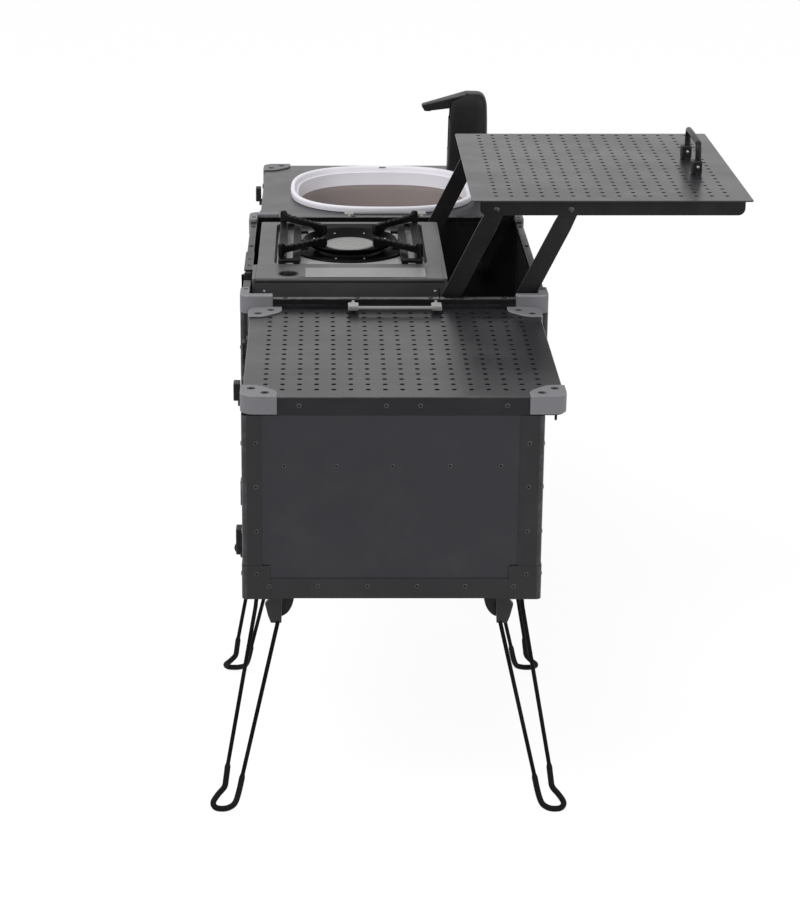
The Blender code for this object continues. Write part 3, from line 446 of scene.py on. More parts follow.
    @classmethod
    def from_cad(cls, node: str, shift: Vector) -> "Form":
        """A merged copy of a CAD node, back in the drawing frame.

        Args:
            node: The node's name.
            shift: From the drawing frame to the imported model.

        Returns:
            The copy.
        """
        form = cls()
        form.read(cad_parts[node].data)
        bmesh.ops.remove_doubles(form.bm, verts=form.bm.verts, dist=TINY)
        bmesh.ops.dissolve_limit(
            form.bm,
            angle_limit=math.radians(1),
            use_dissolve_boundaries=False,
            verts=form.bm.verts,
            edges=form.bm.edges,
        )
        bmesh.ops.translate(form.bm, verts=form.bm.verts, vec=-shift)
        return form

    def placed(self, place: Matrix) -> "Form":
        """Moves, turns or mirrors the whole form, and keeps its faces outward.

        Args:
            place: The transform.

        Returns:
            The form itself.
        """
        bmesh.ops.transform(self.bm, matrix=place, verts=self.bm.verts)
        if place.determinant() < 0:
            bmesh.ops.reverse_faces(self.bm, faces=self.bm.faces)
        return self

    def moved(self, x: float, y: float, z: float) -> "Form":
        """Moves the whole form and returns it."""
        return self.placed(Matrix.Translation((x, y, z)))

    def absorb(self, *others: "Form") -> "Form":
        """Takes in other forms as they are.

        Args:
            others: The forms to take in.

        Returns:
            The form itself.
        """
        for other in others:
            mesh = bpy.data.meshes.new("part")
            other.bm.to_mesh(mesh)
            other.bm.free()
            self.bm.from_mesh(mesh)
            bpy.data.meshes.remove(mesh)
        return self

    def stamp(self, template: "Form", places: Iterable[Matrix]) -> "Form":
        """Takes in a copy of a template at each place.

        Args:
            template: The shape to repeat.
            places: Where the copies go.

        Returns:
            The form itself.
        """
        mesh = bpy.data.meshes.new("template")
        template.bm.to_mesh(mesh)
        template.bm.free()
        for place in places:
            start = len(self.bm.verts)
            self.bm.from_mesh(mesh)
            self.bm.verts.ensure_lookup_table()
            bmesh.ops.transform(self.bm, matrix=place, verts=self.bm.verts[start:])
        bpy.data.meshes.remove(mesh)
        return self

    def paint(self, index: int) -> "Form":
        """Gives every face one of the piece's finishes and returns the form.

        Args:
            index: The finish's place in the piece's list.

        Returns:
            The form itself.
        """
        for face in self.bm.faces:
            face.material_index = index
        return self

    def uprights(self) -> list[BMEdge]:
        """The edges that run along Z.

        Returns:
            The edges.
        """
        found = []
        for edge in self.bm.edges:
            run = edge.verts[1].co - edge.verts[0].co
            if run.length > TINY and abs(run.z) > 0.999 * run.length:
                found.append(edge)
        return found

    def edges_at(self, height: float, limit: float = 0.5) -> list[BMEdge]:
        """The edges that lie at one height and have a bend of at least limit radians."""
        return [e for e in self.sharp_edges(limit) if all(abs(v.co.z - height) < 1e-5 for v in e.verts)]

    def sharp_edges(self, limit: float = 0.6) -> list[BMEdge]:
        """The edges between faces that meet at more than limit radians."""
        return [e for e in self.bm.edges if len(e.link_faces) == 2 and e.calc_face_angle(0) > limit]

    def round_edges(self, edges: Iterable[BMEdge], width: float, steps: int = 3) -> "Form":
        """Rounds edges and marks the new faces as rubbed.

        Args:
            edges: The edges to round.
            width: The rounding's radius.
            steps: Straight runs in it.

        Returns:
            The form itself.
        """
        made = bmesh.ops.bevel(
            self.bm,
            geom=list(edges),
            offset=width,
            offset_type="OFFSET",
            segments=steps,
            profile=0.5,
            affect="EDGES",
            clamp_overlap=True,
            material=-1,
        )
        layer = self.bm.faces.layers.float[RUBBED]
        for face in made["faces"]:
            face[layer] = 1.0
        return self

    def soften(self, width: float = BROKEN, steps: int = 2, limit: float = 0.6) -> "Form":
        """Breaks every sharp edge a little, as a press or a file leaves it, and returns the form."""
        return self.round_edges(self.sharp_edges(limit), width, steps)

    def drop_faces(self, chosen: Callable[[BMFace], bool]) -> "Form":
        """Deletes the chosen faces and returns the form.

        Args:
            chosen: Says whether a face is to go.

        Returns:
            The form itself.
        """
        doomed = [face for face in self.bm.faces if chosen(face)]
        bmesh.ops.delete(self.bm, geom=doomed, context="FACES")
        return self

    def as_helper(self, name: str) -> bpy.types.Object:
        """Puts the mesh on a passing object in the scene.

        Args:
            name: The object's name.

        Returns:
            The object.
        """
        mesh = bpy.data.meshes.new(name)
        self.bm.to_mesh(mesh)
        helper = bpy.data.objects.new(name, mesh)
        bpy.context.scene.collection.objects.link(helper)
        return helper

    def applied(self, kind: str, tool: "Form | None" = None, **settings: object) -> "Form":
        """Runs a modifier over the mesh on a passing object.

        Args:
            kind: The modifier's type name.
            tool: The solid that the modifier works with, used up.
            settings: The modifier's properties.

        Returns:
            The form itself.
        """
        helpers = [self.as_helper("host")]
        if tool:
            helpers.append(tool.as_helper("tool"))
            tool.bm.free()
            settings["object"] = helpers[1]
        modifier = helpers[0].modifiers.new("work", kind)
        for name, value in settings.items():
            setattr(modifier, name, value)
        bpy.context.view_layer.update()
        graph = bpy.context.evaluated_depsgraph_get()
        result = bpy.data.meshes.new_from_object(helpers[0].evaluated_get(graph))
        self.read(result)
        bpy.data.meshes.remove(result)
        for helper in helpers:
            mesh = helper.data
            bpy.data.objects.remove(helper, do_unlink=True)
            bpy.data.meshes.remove(mesh)
        return self

    def joined(self, others: Iterable["Form"], how: Joinery) -> "Form":
        """Cuts other solids out of this one, or welds them on.

        Args:
            others: The other solids, used up.
            how: Cut or weld.

        Returns:
            The form itself.
        """
        for other in others:
            self.applied("BOOLEAN", other, operation=how.value, solver="EXACT")
            bmesh.ops.remove_doubles(self.bm, verts=self.bm.verts, dist=TINY)
        return self

    def cut(self, *others: "Form") -> "Form":
        """Cuts other solids out of this one and returns it."""
        return self.joined(others, Joinery.CUT)

    def weld(self, *others: "Form") -> "Form":
        """Welds other solids onto this one and returns it."""
        return self.joined(others, Joinery.WELD)

    def walled(self, thickness: float) -> "Form":
        """Gives an open skin a wall of this thickness, inward from it, and returns it."""
        return self.applied("SOLIDIFY", thickness=thickness, offset=-1, use_even_offset=True)


def pop_rivet(radius: float, height: float, steps: int = 14) -> Form:
    """A blind rivet head whose shallow centre takes finish 1, a near-black that is painted shade for the hole
    of its mandrel.

    Args:
        radius: Its radius.
        height: Its height.
        steps: Sides.

    Returns:
        The rivet head.
    """
    rim = [
        (radius * 0.42, height * 0.35), (radius * 0.46, height), (radius * 0.72, height * 0.95),
        (radius * 0.93, height * 0.55), (radius, 0), (radius * 0.42, 0),
    ]
    head = Form.lathe(rim, Matrix(), steps)
    # The centre is a shallow disc, darkened as painted shade of the mandrel's hole
    hole = radius * 0.44
    core = [(0, height * 0.30), (radius * 0.30, height * 0.28), (hole, height * 0.20), (hole, 0), (0, 0)]
    return head.absorb(Form.lathe(core, Matrix(), steps).paint(1))


def dome(radius: float, height: float, steps: int = 10) -> Form:
    """A low rivet head standing on its own Z plane.

    Args:
        radius: Its radius.
        height: Its height.
        steps: Sides.

    Returns:
        The rivet head.
    """
    profile = [(0, height), (radius * 0.55, height * 0.9), (radius * 0.88, height * 0.5), (radius, 0), (0, 0)]
    return Form.lathe(profile, Matrix(), steps)


def facing(where: Point, way: Point) -> Matrix:
    """The place of a part whose own Z points a given way.

    Args:
        where: The part's origin.
        way: The direction of its Z.

    Returns:
        The transform.
    """
    turn = Vector((0, 0, 1)).rotation_difference(Vector(way))
    return Matrix.Translation(where) @ turn.to_matrix().to_4x4()


def mirrored(where: Point, signs: tuple[int, int]) -> Matrix:
    """The place of a part that is set down at a point and mirrored where a sign is -1.

    Args:
        where: The part's origin.
        signs: 1 or -1 for its X and for its Y.

    Returns:
        The transform.
    """
    return Matrix.Translation(where) @ Matrix.Diagonal((*signs, 1, 1))


def spokes(count: int, radius: float, height: float) -> list[Matrix]:
    """Places evenly round the Z axis, each turned to look outward.

    Args:
        count: Number of places.
        radius: Their distance from the axis.
        height: Their height.

    Returns:
        The places.
    """
    out = Matrix.Translation((radius, 0, height))
    return [Matrix.Rotation(2 * math.pi * i / count, 4, "Z") @ out for i in range(count)]


def spots(angles: Iterable[float], radius: float, centre: Point) -> list[Matrix]:
    """Places at given angles on a level circle, none of them turned.

    Args:
        angles: The angles, in degrees.
        radius: The circle's radius.
        centre: Its middle.

    Returns:
        The places.
    """
    places = []
    for angle in map(math.radians, angles):
        arm = Vector((radius * math.cos(angle), radius * math.sin(angle), 0))
        places.append(Matrix.Translation(Vector(centre) + arm))
    return places


# Finishes


class NodeSheet:
    """Adds nodes to one tree and links them."""

    def __init__(self, tree: bpy.types.NodeTree) -> None:
        """Works on a node tree."""
        self.tree = tree

    def add(self, kind: str, **settings: object) -> bpy.types.Node:
        """Adds a node.

        Args:
            kind: The node's type name.
            settings: Its properties.

        Returns:
            The node.
        """
        node = self.tree.nodes.new(kind)
        for name, value in settings.items():
            setattr(node, name, value)
        return node

    def feed(self, target: bpy.types.NodeSocket, source: object) -> None:
        """Links a socket to another, or sets its value.

        Args:
            target: The input.
            source: A socket, or a plain value.
        """
        if isinstance(source, bpy.types.NodeSocket):
            self.tree.links.new(source, target)
        else:
            target.default_value = source

    def maths(
        self, operation: str, first: object, second: object = 0.0, clamp: bool = False
    ) -> bpy.types.NodeSocket:
        """A Math node.

        Args:
            operation: What it does.
            first: A number or a socket.
            second: A number or a socket.
            clamp: Whether the result stays from 0 to 1.

        Returns:
            Its result.
        """
        node = self.add("ShaderNodeMath", operation=operation, use_clamp=clamp)
        self.feed(node.inputs[0], first)
        self.feed(node.inputs[1], second)
        return node.outputs[0]

    def spread(
        self, value: object, low: float, high: float, out_low: float = 0.0, out_high: float = 1.0
    ) -> bpy.types.NodeSocket:
        """A smooth step of a value from one range to another.

        Args:
            value: The value.
            low: Where the step starts.
            high: Where it ends.
            out_low: What the start gives.
            out_high: What the end gives.

        Returns:
            The result.
        """
        node = self.add("ShaderNodeMapRange", interpolation_type="SMOOTHSTEP")
        for socket, source in zip(node.inputs, (value, low, high, out_low, out_high)):
            self.feed(socket, source)
        return node.outputs[0]

    def blend(self, share: object, first: object, second: object) -> bpy.types.NodeSocket:
        """A mix of two colours.

        Args:
            share: How much of the second.
            first: A colour or a socket.
            second: A colour or a socket.

        Returns:
            The mixed colour.
        """
        node = self.add("ShaderNodeMix", data_type="RGBA")
        # The colour sockets follow those of the other data types
        for index, source in ((0, share), (6, first), (7, second)):
            self.feed(node.inputs[index], source)
        return node.outputs[2]

    def noise(
        self, vector: object, scale: object, detail: float = 2.0, rough: float = 0.5
    ) -> bpy.types.NodeSocket:
        """A noise value.

        Args:
            vector: Where it is read.
            scale: How fine it is.
            detail: Octaves.
            rough: Strength of the finer ones.

        Returns:
            The value, about 0.5 on average.
        """
        node = self.add("ShaderNodeTexNoise")
        self.feed(node.inputs["Vector"], vector)
        self.feed(node.inputs["Scale"], scale)
        node.inputs["Detail"].default_value = detail
        node.inputs["Roughness"].default_value = rough
        return node.outputs[0]

    def group(self, tree: bpy.types.NodeTree, **sources: object) -> bpy.types.Node:
        """Places a shared group.

        Args:
            tree: The group.
            sources: A value or socket for each of its inputs, with _ for a space.

        Returns:
            The group's node.
        """
        node = self.add("ShaderNodeGroup", node_tree=tree)
        for name, source in sources.items():
            self.feed(node.inputs[name.replace("_", " ").title()], source)
        return node


class SharedEffect:
    """A shader node group used by several materials, built once."""

    name = ""
    takes: tuple[tuple[str, str], ...] = ()
    gives: tuple[str, ...] = ()

    def tree(self) -> bpy.types.NodeTree:
        """The group, made on first use.

        Returns:
            The node group.
        """
        found = bpy.data.node_groups.get(self.name)
        if found:
            return found
        made = bpy.data.node_groups.new(self.name, "ShaderNodeTree")
        for name, kind in self.takes:
            made.interface.new_socket(name=name, in_out="INPUT", socket_type=kind)
        for name in self.gives:
            made.interface.new_socket(name=name, in_out="OUTPUT", socket_type="NodeSocketFloat")
        sheet = NodeSheet(made)
        given = sheet.add("NodeGroupInput").outputs
        results = self.draw(sheet, given)
        end = sheet.add("NodeGroupOutput")
        for name, socket in zip(self.gives, results):
            made.links.new(socket, end.inputs[name])
        return made

    def draw(self, sheet: NodeSheet, given: object) -> tuple[bpy.types.NodeSocket, ...]:
        """Draws the group's nodes and returns one socket for each output."""
        raise NotImplementedError


class CoatGrain(SharedEffect):
    """Fine pebbling of a baked powder coat or a moulded skin, with broad uneven patches."""

    name = "coat_grain"
    noise_share = 0.6
    cell_share = 0.4
    cell_scale = 0.6
    patch_scale = 9.0
    takes = (("Vector", "NodeSocketVector"), ("Scale", "NodeSocketFloat"))
    gives = ("Height", "Mottle")

    def draw(self, sheet: NodeSheet, given: object) -> tuple[bpy.types.NodeSocket, ...]:
        """Mixes noise and cells for the height, and coarse noise for the mottle.

        Args:
            sheet: Adds nodes to the group's tree.
            given: The group's inputs.

        Returns:
            The height and the mottle.
        """
        fine = sheet.noise(given["Vector"], given["Scale"], 3.0, 0.6)
        cells = sheet.add("ShaderNodeTexVoronoi", feature="SMOOTH_F1")
        sheet.feed(cells.inputs["Vector"], given["Vector"])
        sheet.feed(cells.inputs["Scale"], sheet.maths("MULTIPLY", given["Scale"], self.cell_scale))
        cell_height = sheet.maths("MULTIPLY", cells.outputs["Distance"], self.cell_share)
        height = sheet.maths("ADD", sheet.maths("MULTIPLY", fine, self.noise_share), cell_height)
        broad = sheet.noise(given["Vector"], self.patch_scale, 5.0, 0.6)
        return height, sheet.spread(broad, 0.3, 0.7)


class EdgeRub(SharedEffect):
    """Where a coating is thinned or chipped along edges."""

    name = "edge_rub"
    chip_scale = 90.0
    chipped_share = 0.65
    takes = (("Vector", "NodeSocketVector"), ("Edge", "NodeSocketFloat"), ("Amount", "NodeSocketFloat"))
    gives = ("Mask",)

    def draw(self, sheet: NodeSheet, given: object) -> tuple[bpy.types.NodeSocket, ...]:
        """Breaks the edge mark up with noise.

        Args:
            sheet: Adds nodes to the group's tree.
            given: The group's inputs.

        Returns:
            The mask.
        """
        chips = sheet.spread(sheet.noise(given["Vector"], self.chip_scale, 6.0, 0.7), 0.42, 0.62)
        chipped = sheet.maths("MULTIPLY", chips, self.chipped_share)
        even = sheet.maths("ADD", chipped, 1 - self.chipped_share)
        worn = sheet.maths("MULTIPLY", given["Edge"], even)
        return (sheet.maths("MULTIPLY", worn, given["Amount"], clamp=True),)


class DustFilm(SharedEffect):
    """A thin film of dust with small specks."""

    name = "dust_film"
    film_scale = 14.0
    film_share = 0.7
    speck_scale = 420.0
    speck_share = 0.5
    takes = (("Vector", "NodeSocketVector"), ("Amount", "NodeSocketFloat"))
    gives = ("Mask",)

    def draw(self, sheet: NodeSheet, given: object) -> tuple[bpy.types.NodeSocket, ...]:
        """Cloudy film plus specks.

        Args:
            sheet: Adds nodes to the group's tree.
            given: The group's inputs.

        Returns:
            The mask.
        """
        film = sheet.spread(sheet.noise(given["Vector"], self.film_scale, 8.0, 0.65), 0.45, 0.75)
        specks = sheet.spread(sheet.noise(given["Vector"], self.speck_scale, 2.0, 0.5), 0.68, 0.74)
        film = sheet.maths("MULTIPLY", film, self.film_share)
        both = sheet.maths("ADD", film, sheet.maths("MULTIPLY", specks, self.speck_share))
        return (sheet.maths("MULTIPLY", both, given["Amount"], clamp=True),)


class BrushLines(SharedEffect):
    """Fine parallel lines of brushed or drawn metal."""

    name = "brush_lines"
    takes = (("Vector", "NodeSocketVector"), ("Stretch", "NodeSocketVector"))
    gives = ("Height",)

    def draw(self, sheet: NodeSheet, given: object) -> tuple[bpy.types.NodeSocket, ...]:
        """Noise that is drawn out along the brushing.

        Args:
            sheet: Adds nodes to the group's tree.
            given: The group's inputs.

        Returns:
            The height.
        """
        drawn = sheet.add("ShaderNodeVectorMath", operation="MULTIPLY")
        sheet.feed(drawn.inputs[0], given["Vector"])
        sheet.feed(drawn.inputs[1], given["Stretch"])
        return (sheet.noise(drawn.outputs[0], 1.0, 4.0, 0.7),)


GRAIN = CoatGrain()
RUB = EdgeRub()
DUST = DustFilm()
BRUSH = BrushLines()

DUST_COLOUR = (0.42, 0.41, 0.39, 1)
# How much full dust adds to the roughness
DUST_DULLS = 0.3
# What is left of the pebbles and of the mottle on brushed metal
PEBBLED_SHARE = 0.3
MOTTLED_SHARE = 0.4


@dataclass(frozen=True)
class Finish:
    """A coated, moulded or brushed surface: colour, gloss, grain, worn edges and dust."""

    name: str
    colour: tuple[float, float, float]
    patch: tuple[float, float, float]
    worn: tuple[float, float, float]
    roughness: float = 0.4
    uneven: float = 0.06
    metallic: float = 0.0
    specular: float = 0.3
    grain: float = 900.0
    relief: float = 0.00004
    wear: float = 0.6
    dust: float = 0.05
    brushed: tuple[float, float, float] | None = None

    def material(self) -> bpy.types.Material:
        """The material, made on first use.

        Returns:
            A node material that reads object coordinates and the piece's edge marks.
        """
        found = bpy.data.materials.get(self.name)
        if found:
            return found
        made = bpy.data.materials.new(self.name)
        made.use_nodes = True
        made.diffuse_color = (*self.colour, 1)
        sheet = NodeSheet(made.node_tree)
        shader = made.node_tree.nodes["Principled BSDF"]
        vector = sheet.add("ShaderNodeTexCoord").outputs["Object"]
        edge = sheet.add("ShaderNodeAttribute", attribute_name=RUBBED).outputs["Fac"]
        grain = sheet.group(GRAIN.tree(), vector=vector, scale=self.grain)
        mottle = grain.outputs["Mottle"]
        height = grain.outputs["Height"]
        if self.brushed:
            lines = sheet.group(BRUSH.tree(), vector=vector, stretch=self.brushed).outputs["Height"]
            height = sheet.maths("ADD", sheet.maths("MULTIPLY", height, PEBBLED_SHARE), lines)
            line_share = sheet.maths("MULTIPLY", lines, 1 - MOTTLED_SHARE)
            mottle = sheet.maths("ADD", sheet.maths("MULTIPLY", mottle, MOTTLED_SHARE), line_share)
        rubbed = sheet.group(RUB.tree(), vector=vector, edge=edge, amount=self.wear).outputs["Mask"]
        dusty = sheet.group(DUST.tree(), vector=vector, amount=self.dust).outputs["Mask"]
        colour = sheet.blend(mottle, (*self.colour, 1), (*self.patch, 1))
        colour = sheet.blend(rubbed, colour, (*self.worn, 1))
        colour = sheet.blend(dusty, colour, DUST_COLOUR)
        sheet.feed(shader.inputs["Base Color"], colour)
        gloss = sheet.spread(mottle, 0.0, 1.0, self.roughness - self.uneven, self.roughness + self.uneven)
        dulled = sheet.maths("ADD", gloss, sheet.maths("MULTIPLY", dusty, DUST_DULLS), clamp=True)
        sheet.feed(shader.inputs["Roughness"], dulled)
        bump = sheet.add("ShaderNodeBump")
        bump.inputs["Strength"].default_value = 1.0
        bump.inputs["Distance"].default_value = self.relief
        sheet.feed(bump.inputs["Height"], height)
        sheet.feed(shader.inputs["Normal"], bump.outputs["Normal"])
        shader.inputs["Metallic"].default_value = self.metallic
        shader.inputs["Specular IOR Level"].default_value = self.specular
        return made


PANEL = Finish(
    "charcoal_powder_coat", (0.0170, 0.0170, 0.0215), (0.0195, 0.0195, 0.0240), (0.050, 0.050, 0.054),
    roughness=0.42, uneven=0.03, dust=0.02,
)
WORKTOP = Finish(
    "worktop_powder_coat", (0.0125, 0.0118, 0.0140), (0.0155, 0.0147, 0.0170), (0.070, 0.070, 0.074),
    roughness=0.30, uneven=0.03, specular=0.32, grain=1400.0, relief=0.00002, dust=0.03,
)
# A darker copy of the worktop's coat for its turned-down edges: the extra darkness is painted shade on the
# sides of the same sheet
SKIRT_SHADE = Finish(
    "skirt_coat_painted_shade", (0.0070, 0.0070, 0.0088), (0.0088, 0.0088, 0.0105), (0.045, 0.045, 0.049),
    roughness=0.38, uneven=0.03, specular=0.24, dust=0.02,
)
BLACK = Finish(
    "black_powder_coat", (0.0050, 0.0050, 0.0060), (0.0080, 0.0080, 0.0090), (0.060, 0.060, 0.062),
    roughness=0.40, specular=0.20, dust=0.03,
)
LEG = Finish(
    "leg_enamel", (0.0018, 0.0018, 0.0020), (0.0030, 0.0030, 0.0032), (0.020, 0.020, 0.020),
    roughness=0.50, specular=0.06, dust=0.02,
)
TRIM = Finish(
    "trim_powder_coat", (0.0120, 0.0120, 0.0135), (0.0150, 0.0150, 0.0165), (0.060, 0.060, 0.064),
    roughness=0.38, uneven=0.04, specular=0.28, dust=0.02,
)
CAP = Finish(
    "moulded_cap", (0.150, 0.148, 0.158), (0.170, 0.168, 0.178), (0.250, 0.250, 0.258),
    roughness=0.52, specular=0.2, grain=1800.0, relief=0.00005, wear=0.7, dust=0.06,
)
RIM = Finish(
    "drawn_rail", (0.0040, 0.0040, 0.0045), (0.0060, 0.0060, 0.0065), (0.180, 0.180, 0.185),
    roughness=0.30, uneven=0.04, specular=0.22, dust=0.02,
)
HANDLE = Finish(
    "satin_handle", (0.180, 0.180, 0.172), (0.240, 0.240, 0.232), (0.400, 0.400, 0.390),
    roughness=0.35, specular=0.4,
)
STEEL = Finish(
    "brushed_steel", (0.30, 0.30, 0.30), (0.40, 0.40, 0.39), (0.50, 0.50, 0.49),
    roughness=0.40, metallic=0.6, specular=0.4, brushed=(60.0, 1400.0, 1400.0), relief=0.00002, dust=0.03,
)
DISC = Finish(
    "burner_disc", (0.150, 0.150, 0.145), (0.420, 0.420, 0.410), (0.620, 0.620, 0.600),
    roughness=0.46, specular=0.2, brushed=(700.0, 700.0, 700.0), relief=0.00006, wear=1.0, dust=0.0,
)
STOVE = Finish(
    "stove_paint", (0.0460, 0.0460, 0.0480), (0.0530, 0.0530, 0.0550), (0.140, 0.140, 0.144),
    roughness=0.36, uneven=0.03, specular=0.30, grain=2000.0, relief=0.00002, dust=0.03,
)
TRAY = Finish(
    "cover_plate_metal", (0.140, 0.140, 0.142), (0.230, 0.230, 0.232), (0.300, 0.300, 0.298),
    roughness=0.32, specular=0.3, brushed=(900.0, 40.0, 900.0), relief=0.00001, dust=0.03,
)
DRIP = Finish(
    "drip_tray_metal", (0.300, 0.300, 0.302), (0.380, 0.380, 0.382), (0.450, 0.450, 0.450),
    roughness=0.34, specular=0.4, brushed=(900.0, 40.0, 900.0), dust=0.04,
)
ENAMEL = Finish(
    "black_enamel", (0.0016, 0.0016, 0.0018), (0.0040, 0.0040, 0.0040), (0.024, 0.024, 0.024),
    roughness=0.46, uneven=0.08, specular=0.06, grain=500.0, relief=0.00006, dust=0.03,
)
RUBBER = Finish(
    "black_rubber", (0.0060, 0.0060, 0.0062), (0.0100, 0.0100, 0.0102), (0.020, 0.020, 0.020),
    roughness=0.62, specular=0.2, grain=2400.0, relief=0.00006, dust=0.05,
)
LEG_RUBBER = Finish(
    "foot_rubber", (0.0030, 0.0030, 0.0031), (0.0050, 0.0050, 0.0051), (0.016, 0.016, 0.016),
    roughness=0.60, specular=0.10, grain=2400.0, relief=0.00006, dust=0.03,
)
SLOT = Finish(
    "slot_shadow", (0.150, 0.145, 0.155), (0.170, 0.165, 0.175), (0.200, 0.200, 0.200),
    roughness=0.60, specular=0.2, grain=900.0, dust=0.0,
)
BASIN = Finish(
    "basin_plastic", (0.760, 0.735, 0.790), (0.790, 0.770, 0.815), (0.840, 0.830, 0.850),
    roughness=0.36, uneven=0.03, specular=0.4, grain=700.0, relief=0.00002, wear=0.3, dust=0.02,
)
BASIN_FLOOR = Finish(
    "basin_soft_grey", (0.225, 0.190, 0.182), (0.255, 0.218, 0.205), (0.280, 0.250, 0.238),
    roughness=0.50, specular=0.3, grain=500.0, relief=0.00004, wear=0.2, dust=0.03,
)
FAUCET = Finish(
    "faucet_plastic", (0.0090, 0.0090, 0.0100), (0.0115, 0.0115, 0.0125), (0.040, 0.040, 0.042),
    roughness=0.42, uneven=0.03, specular=0.16, grain=1600.0, relief=0.00003, dust=0.02,
)
SCREW = Finish(
    "blackened_screw", (0.0030, 0.0030, 0.0034), (0.0060, 0.0060, 0.0064), (0.050, 0.050, 0.052),
    roughness=0.45, specular=0.2, dust=0.02,
)
RIVET = Finish(
    "dark_rivet", (0.0240, 0.0240, 0.0260), (0.0400, 0.0400, 0.0420), (0.120, 0.120, 0.124),
    roughness=0.24, metallic=0.3, specular=0.55, dust=0.02,
)


# Workshop


class Workshop:
    """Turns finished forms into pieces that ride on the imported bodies."""

    def __init__(self) -> None:
        """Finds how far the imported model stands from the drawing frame."""
        low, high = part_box("near_worktop")
        self.shift = Vector((high.x - LAYOUT.half_width, low.y, high.z))

    def copy_of(self, node: str) -> Form:
        """A merged copy of a CAD node, in the drawing frame."""
        return Form.from_cad(node, self.shift)

    def deliver(
        self,
        name: str,
        form: Form,
        body: str,
        finishes: Finish | Sequence[Finish],
        slot: str,
        replaces: Sequence[str] = (),
        smooth_below: float = 0.6,
    ) -> None:
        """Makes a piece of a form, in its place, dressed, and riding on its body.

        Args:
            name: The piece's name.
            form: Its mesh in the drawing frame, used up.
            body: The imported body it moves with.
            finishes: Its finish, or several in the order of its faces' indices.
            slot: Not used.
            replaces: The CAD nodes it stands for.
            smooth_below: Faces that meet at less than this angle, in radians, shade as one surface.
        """
        bm = form.bm
        for face in bm.faces:
            face.smooth = True
        for edge in bm.edges:
            if len(edge.link_faces) == 2:
                edge.smooth = edge.calc_face_angle(0) < smooth_below
        bmesh.ops.translate(bm, verts=bm.verts, vec=self.shift)
        mesh = bpy.data.meshes.new(name)
        bm.to_mesh(mesh)
        bm.free()
        for finish in [finishes] if isinstance(finishes, Finish) else finishes:
            mesh.materials.append(finish.material())
        piece = bpy.data.objects.new(name, mesh)
        bpy.context.scene.collection.objects.link(piece)
        shading = piece.modifiers.new("flat_faces", "WEIGHTED_NORMAL")
        shading.keep_sharp = True
        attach(piece, body)
        if replaces:
            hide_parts(*replaces)
        log.info("%s: %d faces on %s", name, len(mesh.polygons), body)

    def keep(self, node: str, body: str, finish: Finish, slot: str, broken: float = BROKEN) -> None:
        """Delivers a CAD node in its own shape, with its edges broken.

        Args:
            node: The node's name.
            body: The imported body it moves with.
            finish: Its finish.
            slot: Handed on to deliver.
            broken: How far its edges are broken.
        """
        self.deliver(node, self.copy_of(node).soften(broken), body, finish, slot, [node])


# Caps, holes and handles


@dataclass(frozen=True)
class CornerCap:
    """A moulded cap over a corner: a top plate with a wall down each of its two outer sides."""

    leg: float = 0.0445
    shell: float = 0.0027
    wall: float = 0.0027
    drop: float = 0.022
    corner_round: float = 0.018
    edge_round: float = 0.0012
    flank: float = 0.015
    nose: float = 0.0235
    nose_cut: float = 0.004
    screw_spots: tuple[tuple[float, float], ...] = ((0.0110, 0.0305), (0.0290, 0.0125))
    hole_radius: float = 0.0057

    def plate_outline(self) -> Outline:
        """The cabinet cap seen from above: a square corner piece, its inner corner cut away in a curve.

        Returns:
            The outline.
        """
        out, leg, flank, nose = -self.wall - LAYOUT.gap, self.leg, self.flank, self.nose
        side = leg - self.nose_cut
        corners = [(out, out), (leg, out), (leg, flank), (side, nose), (nose, side), (flank, leg), (out, leg)]
        return rounded_outline(corners, [self.corner_round, 0.0015, 0.004, 0.007, 0.007, 0.004, 0.0015], 6)

    def angle_outline(self, flap: float) -> Outline:
        """The tub cap seen from above: an angle whose legs are as wide as the rim rails.

        Args:
            flap: Width of each leg inward from the corner.

        Returns:
            The outline.
        """
        out, leg = -self.wall - LAYOUT.gap, self.leg
        corners = [(out, out), (leg, out), (leg, flap), (flap, flap), (flap, leg), (out, leg)]
        end = self.edge_round + 0.0006
        return rounded_outline(corners, [self.corner_round, end, end, 0.002, end, end], 6)

    def build(self, outline: Outline, base_z: float, corner: Point, inward: tuple[int, int]) -> Form:
        """The cap and its screws, in place.

        Args:
            outline: The cap from above, its corner at the origin and its legs along +X and +Y.
            base_z: Height of the surface that it lies on.
            corner: The corner that it covers.
            inward: Signs of X and Y that lead inward from the corner.

        Returns:
            The cap, with its screws as finish 1.
        """
        gap = LAYOUT.gap
        cap = Form.plate(outline, self.drop + self.shell, Matrix.Translation((0, 0, -self.drop)))
        cap.round_edges(cap.edges_at(self.shell), self.edge_round, 3)
        room = Form.block((-gap, -gap, gap), (self.leg * 2, self.leg * 2, -self.drop * 2))
        hidden = [e for e in room.uprights() if e.verts[0].co.x < 0 and e.verts[0].co.y < 0]
        room.round_edges(hidden, self.corner_round - self.wall, 6)
        cap.cut(room)
        for x, y in self.screw_spots:
            cap.cut(Form.rod((x, y, self.shell + gap), (x, y, -gap), self.hole_radius))
        cap.soften()
        for x, y in self.screw_spots:
            cap.absorb(self.screw().moved(x, y, gap))
        return cap.placed(mirrored((corner[0], corner[1], base_z), inward))

    def screw(self) -> Form:
        """A sunk screw head with a hexagon socket.

        Returns:
            The screw, as finish 1.
        """
        radius = self.hole_radius - 0.0004
        profile = [(0, 0.0011), (radius * 0.85, 0.0010), (radius, 0.0005), (radius, 0), (0, 0)]
        head = Form.lathe(profile, Matrix(), 18)
        return head.cut(Form.rod((0, 0, 0.0004), (0, 0, 0.002), radius * 0.45, steps=6)).paint(1)


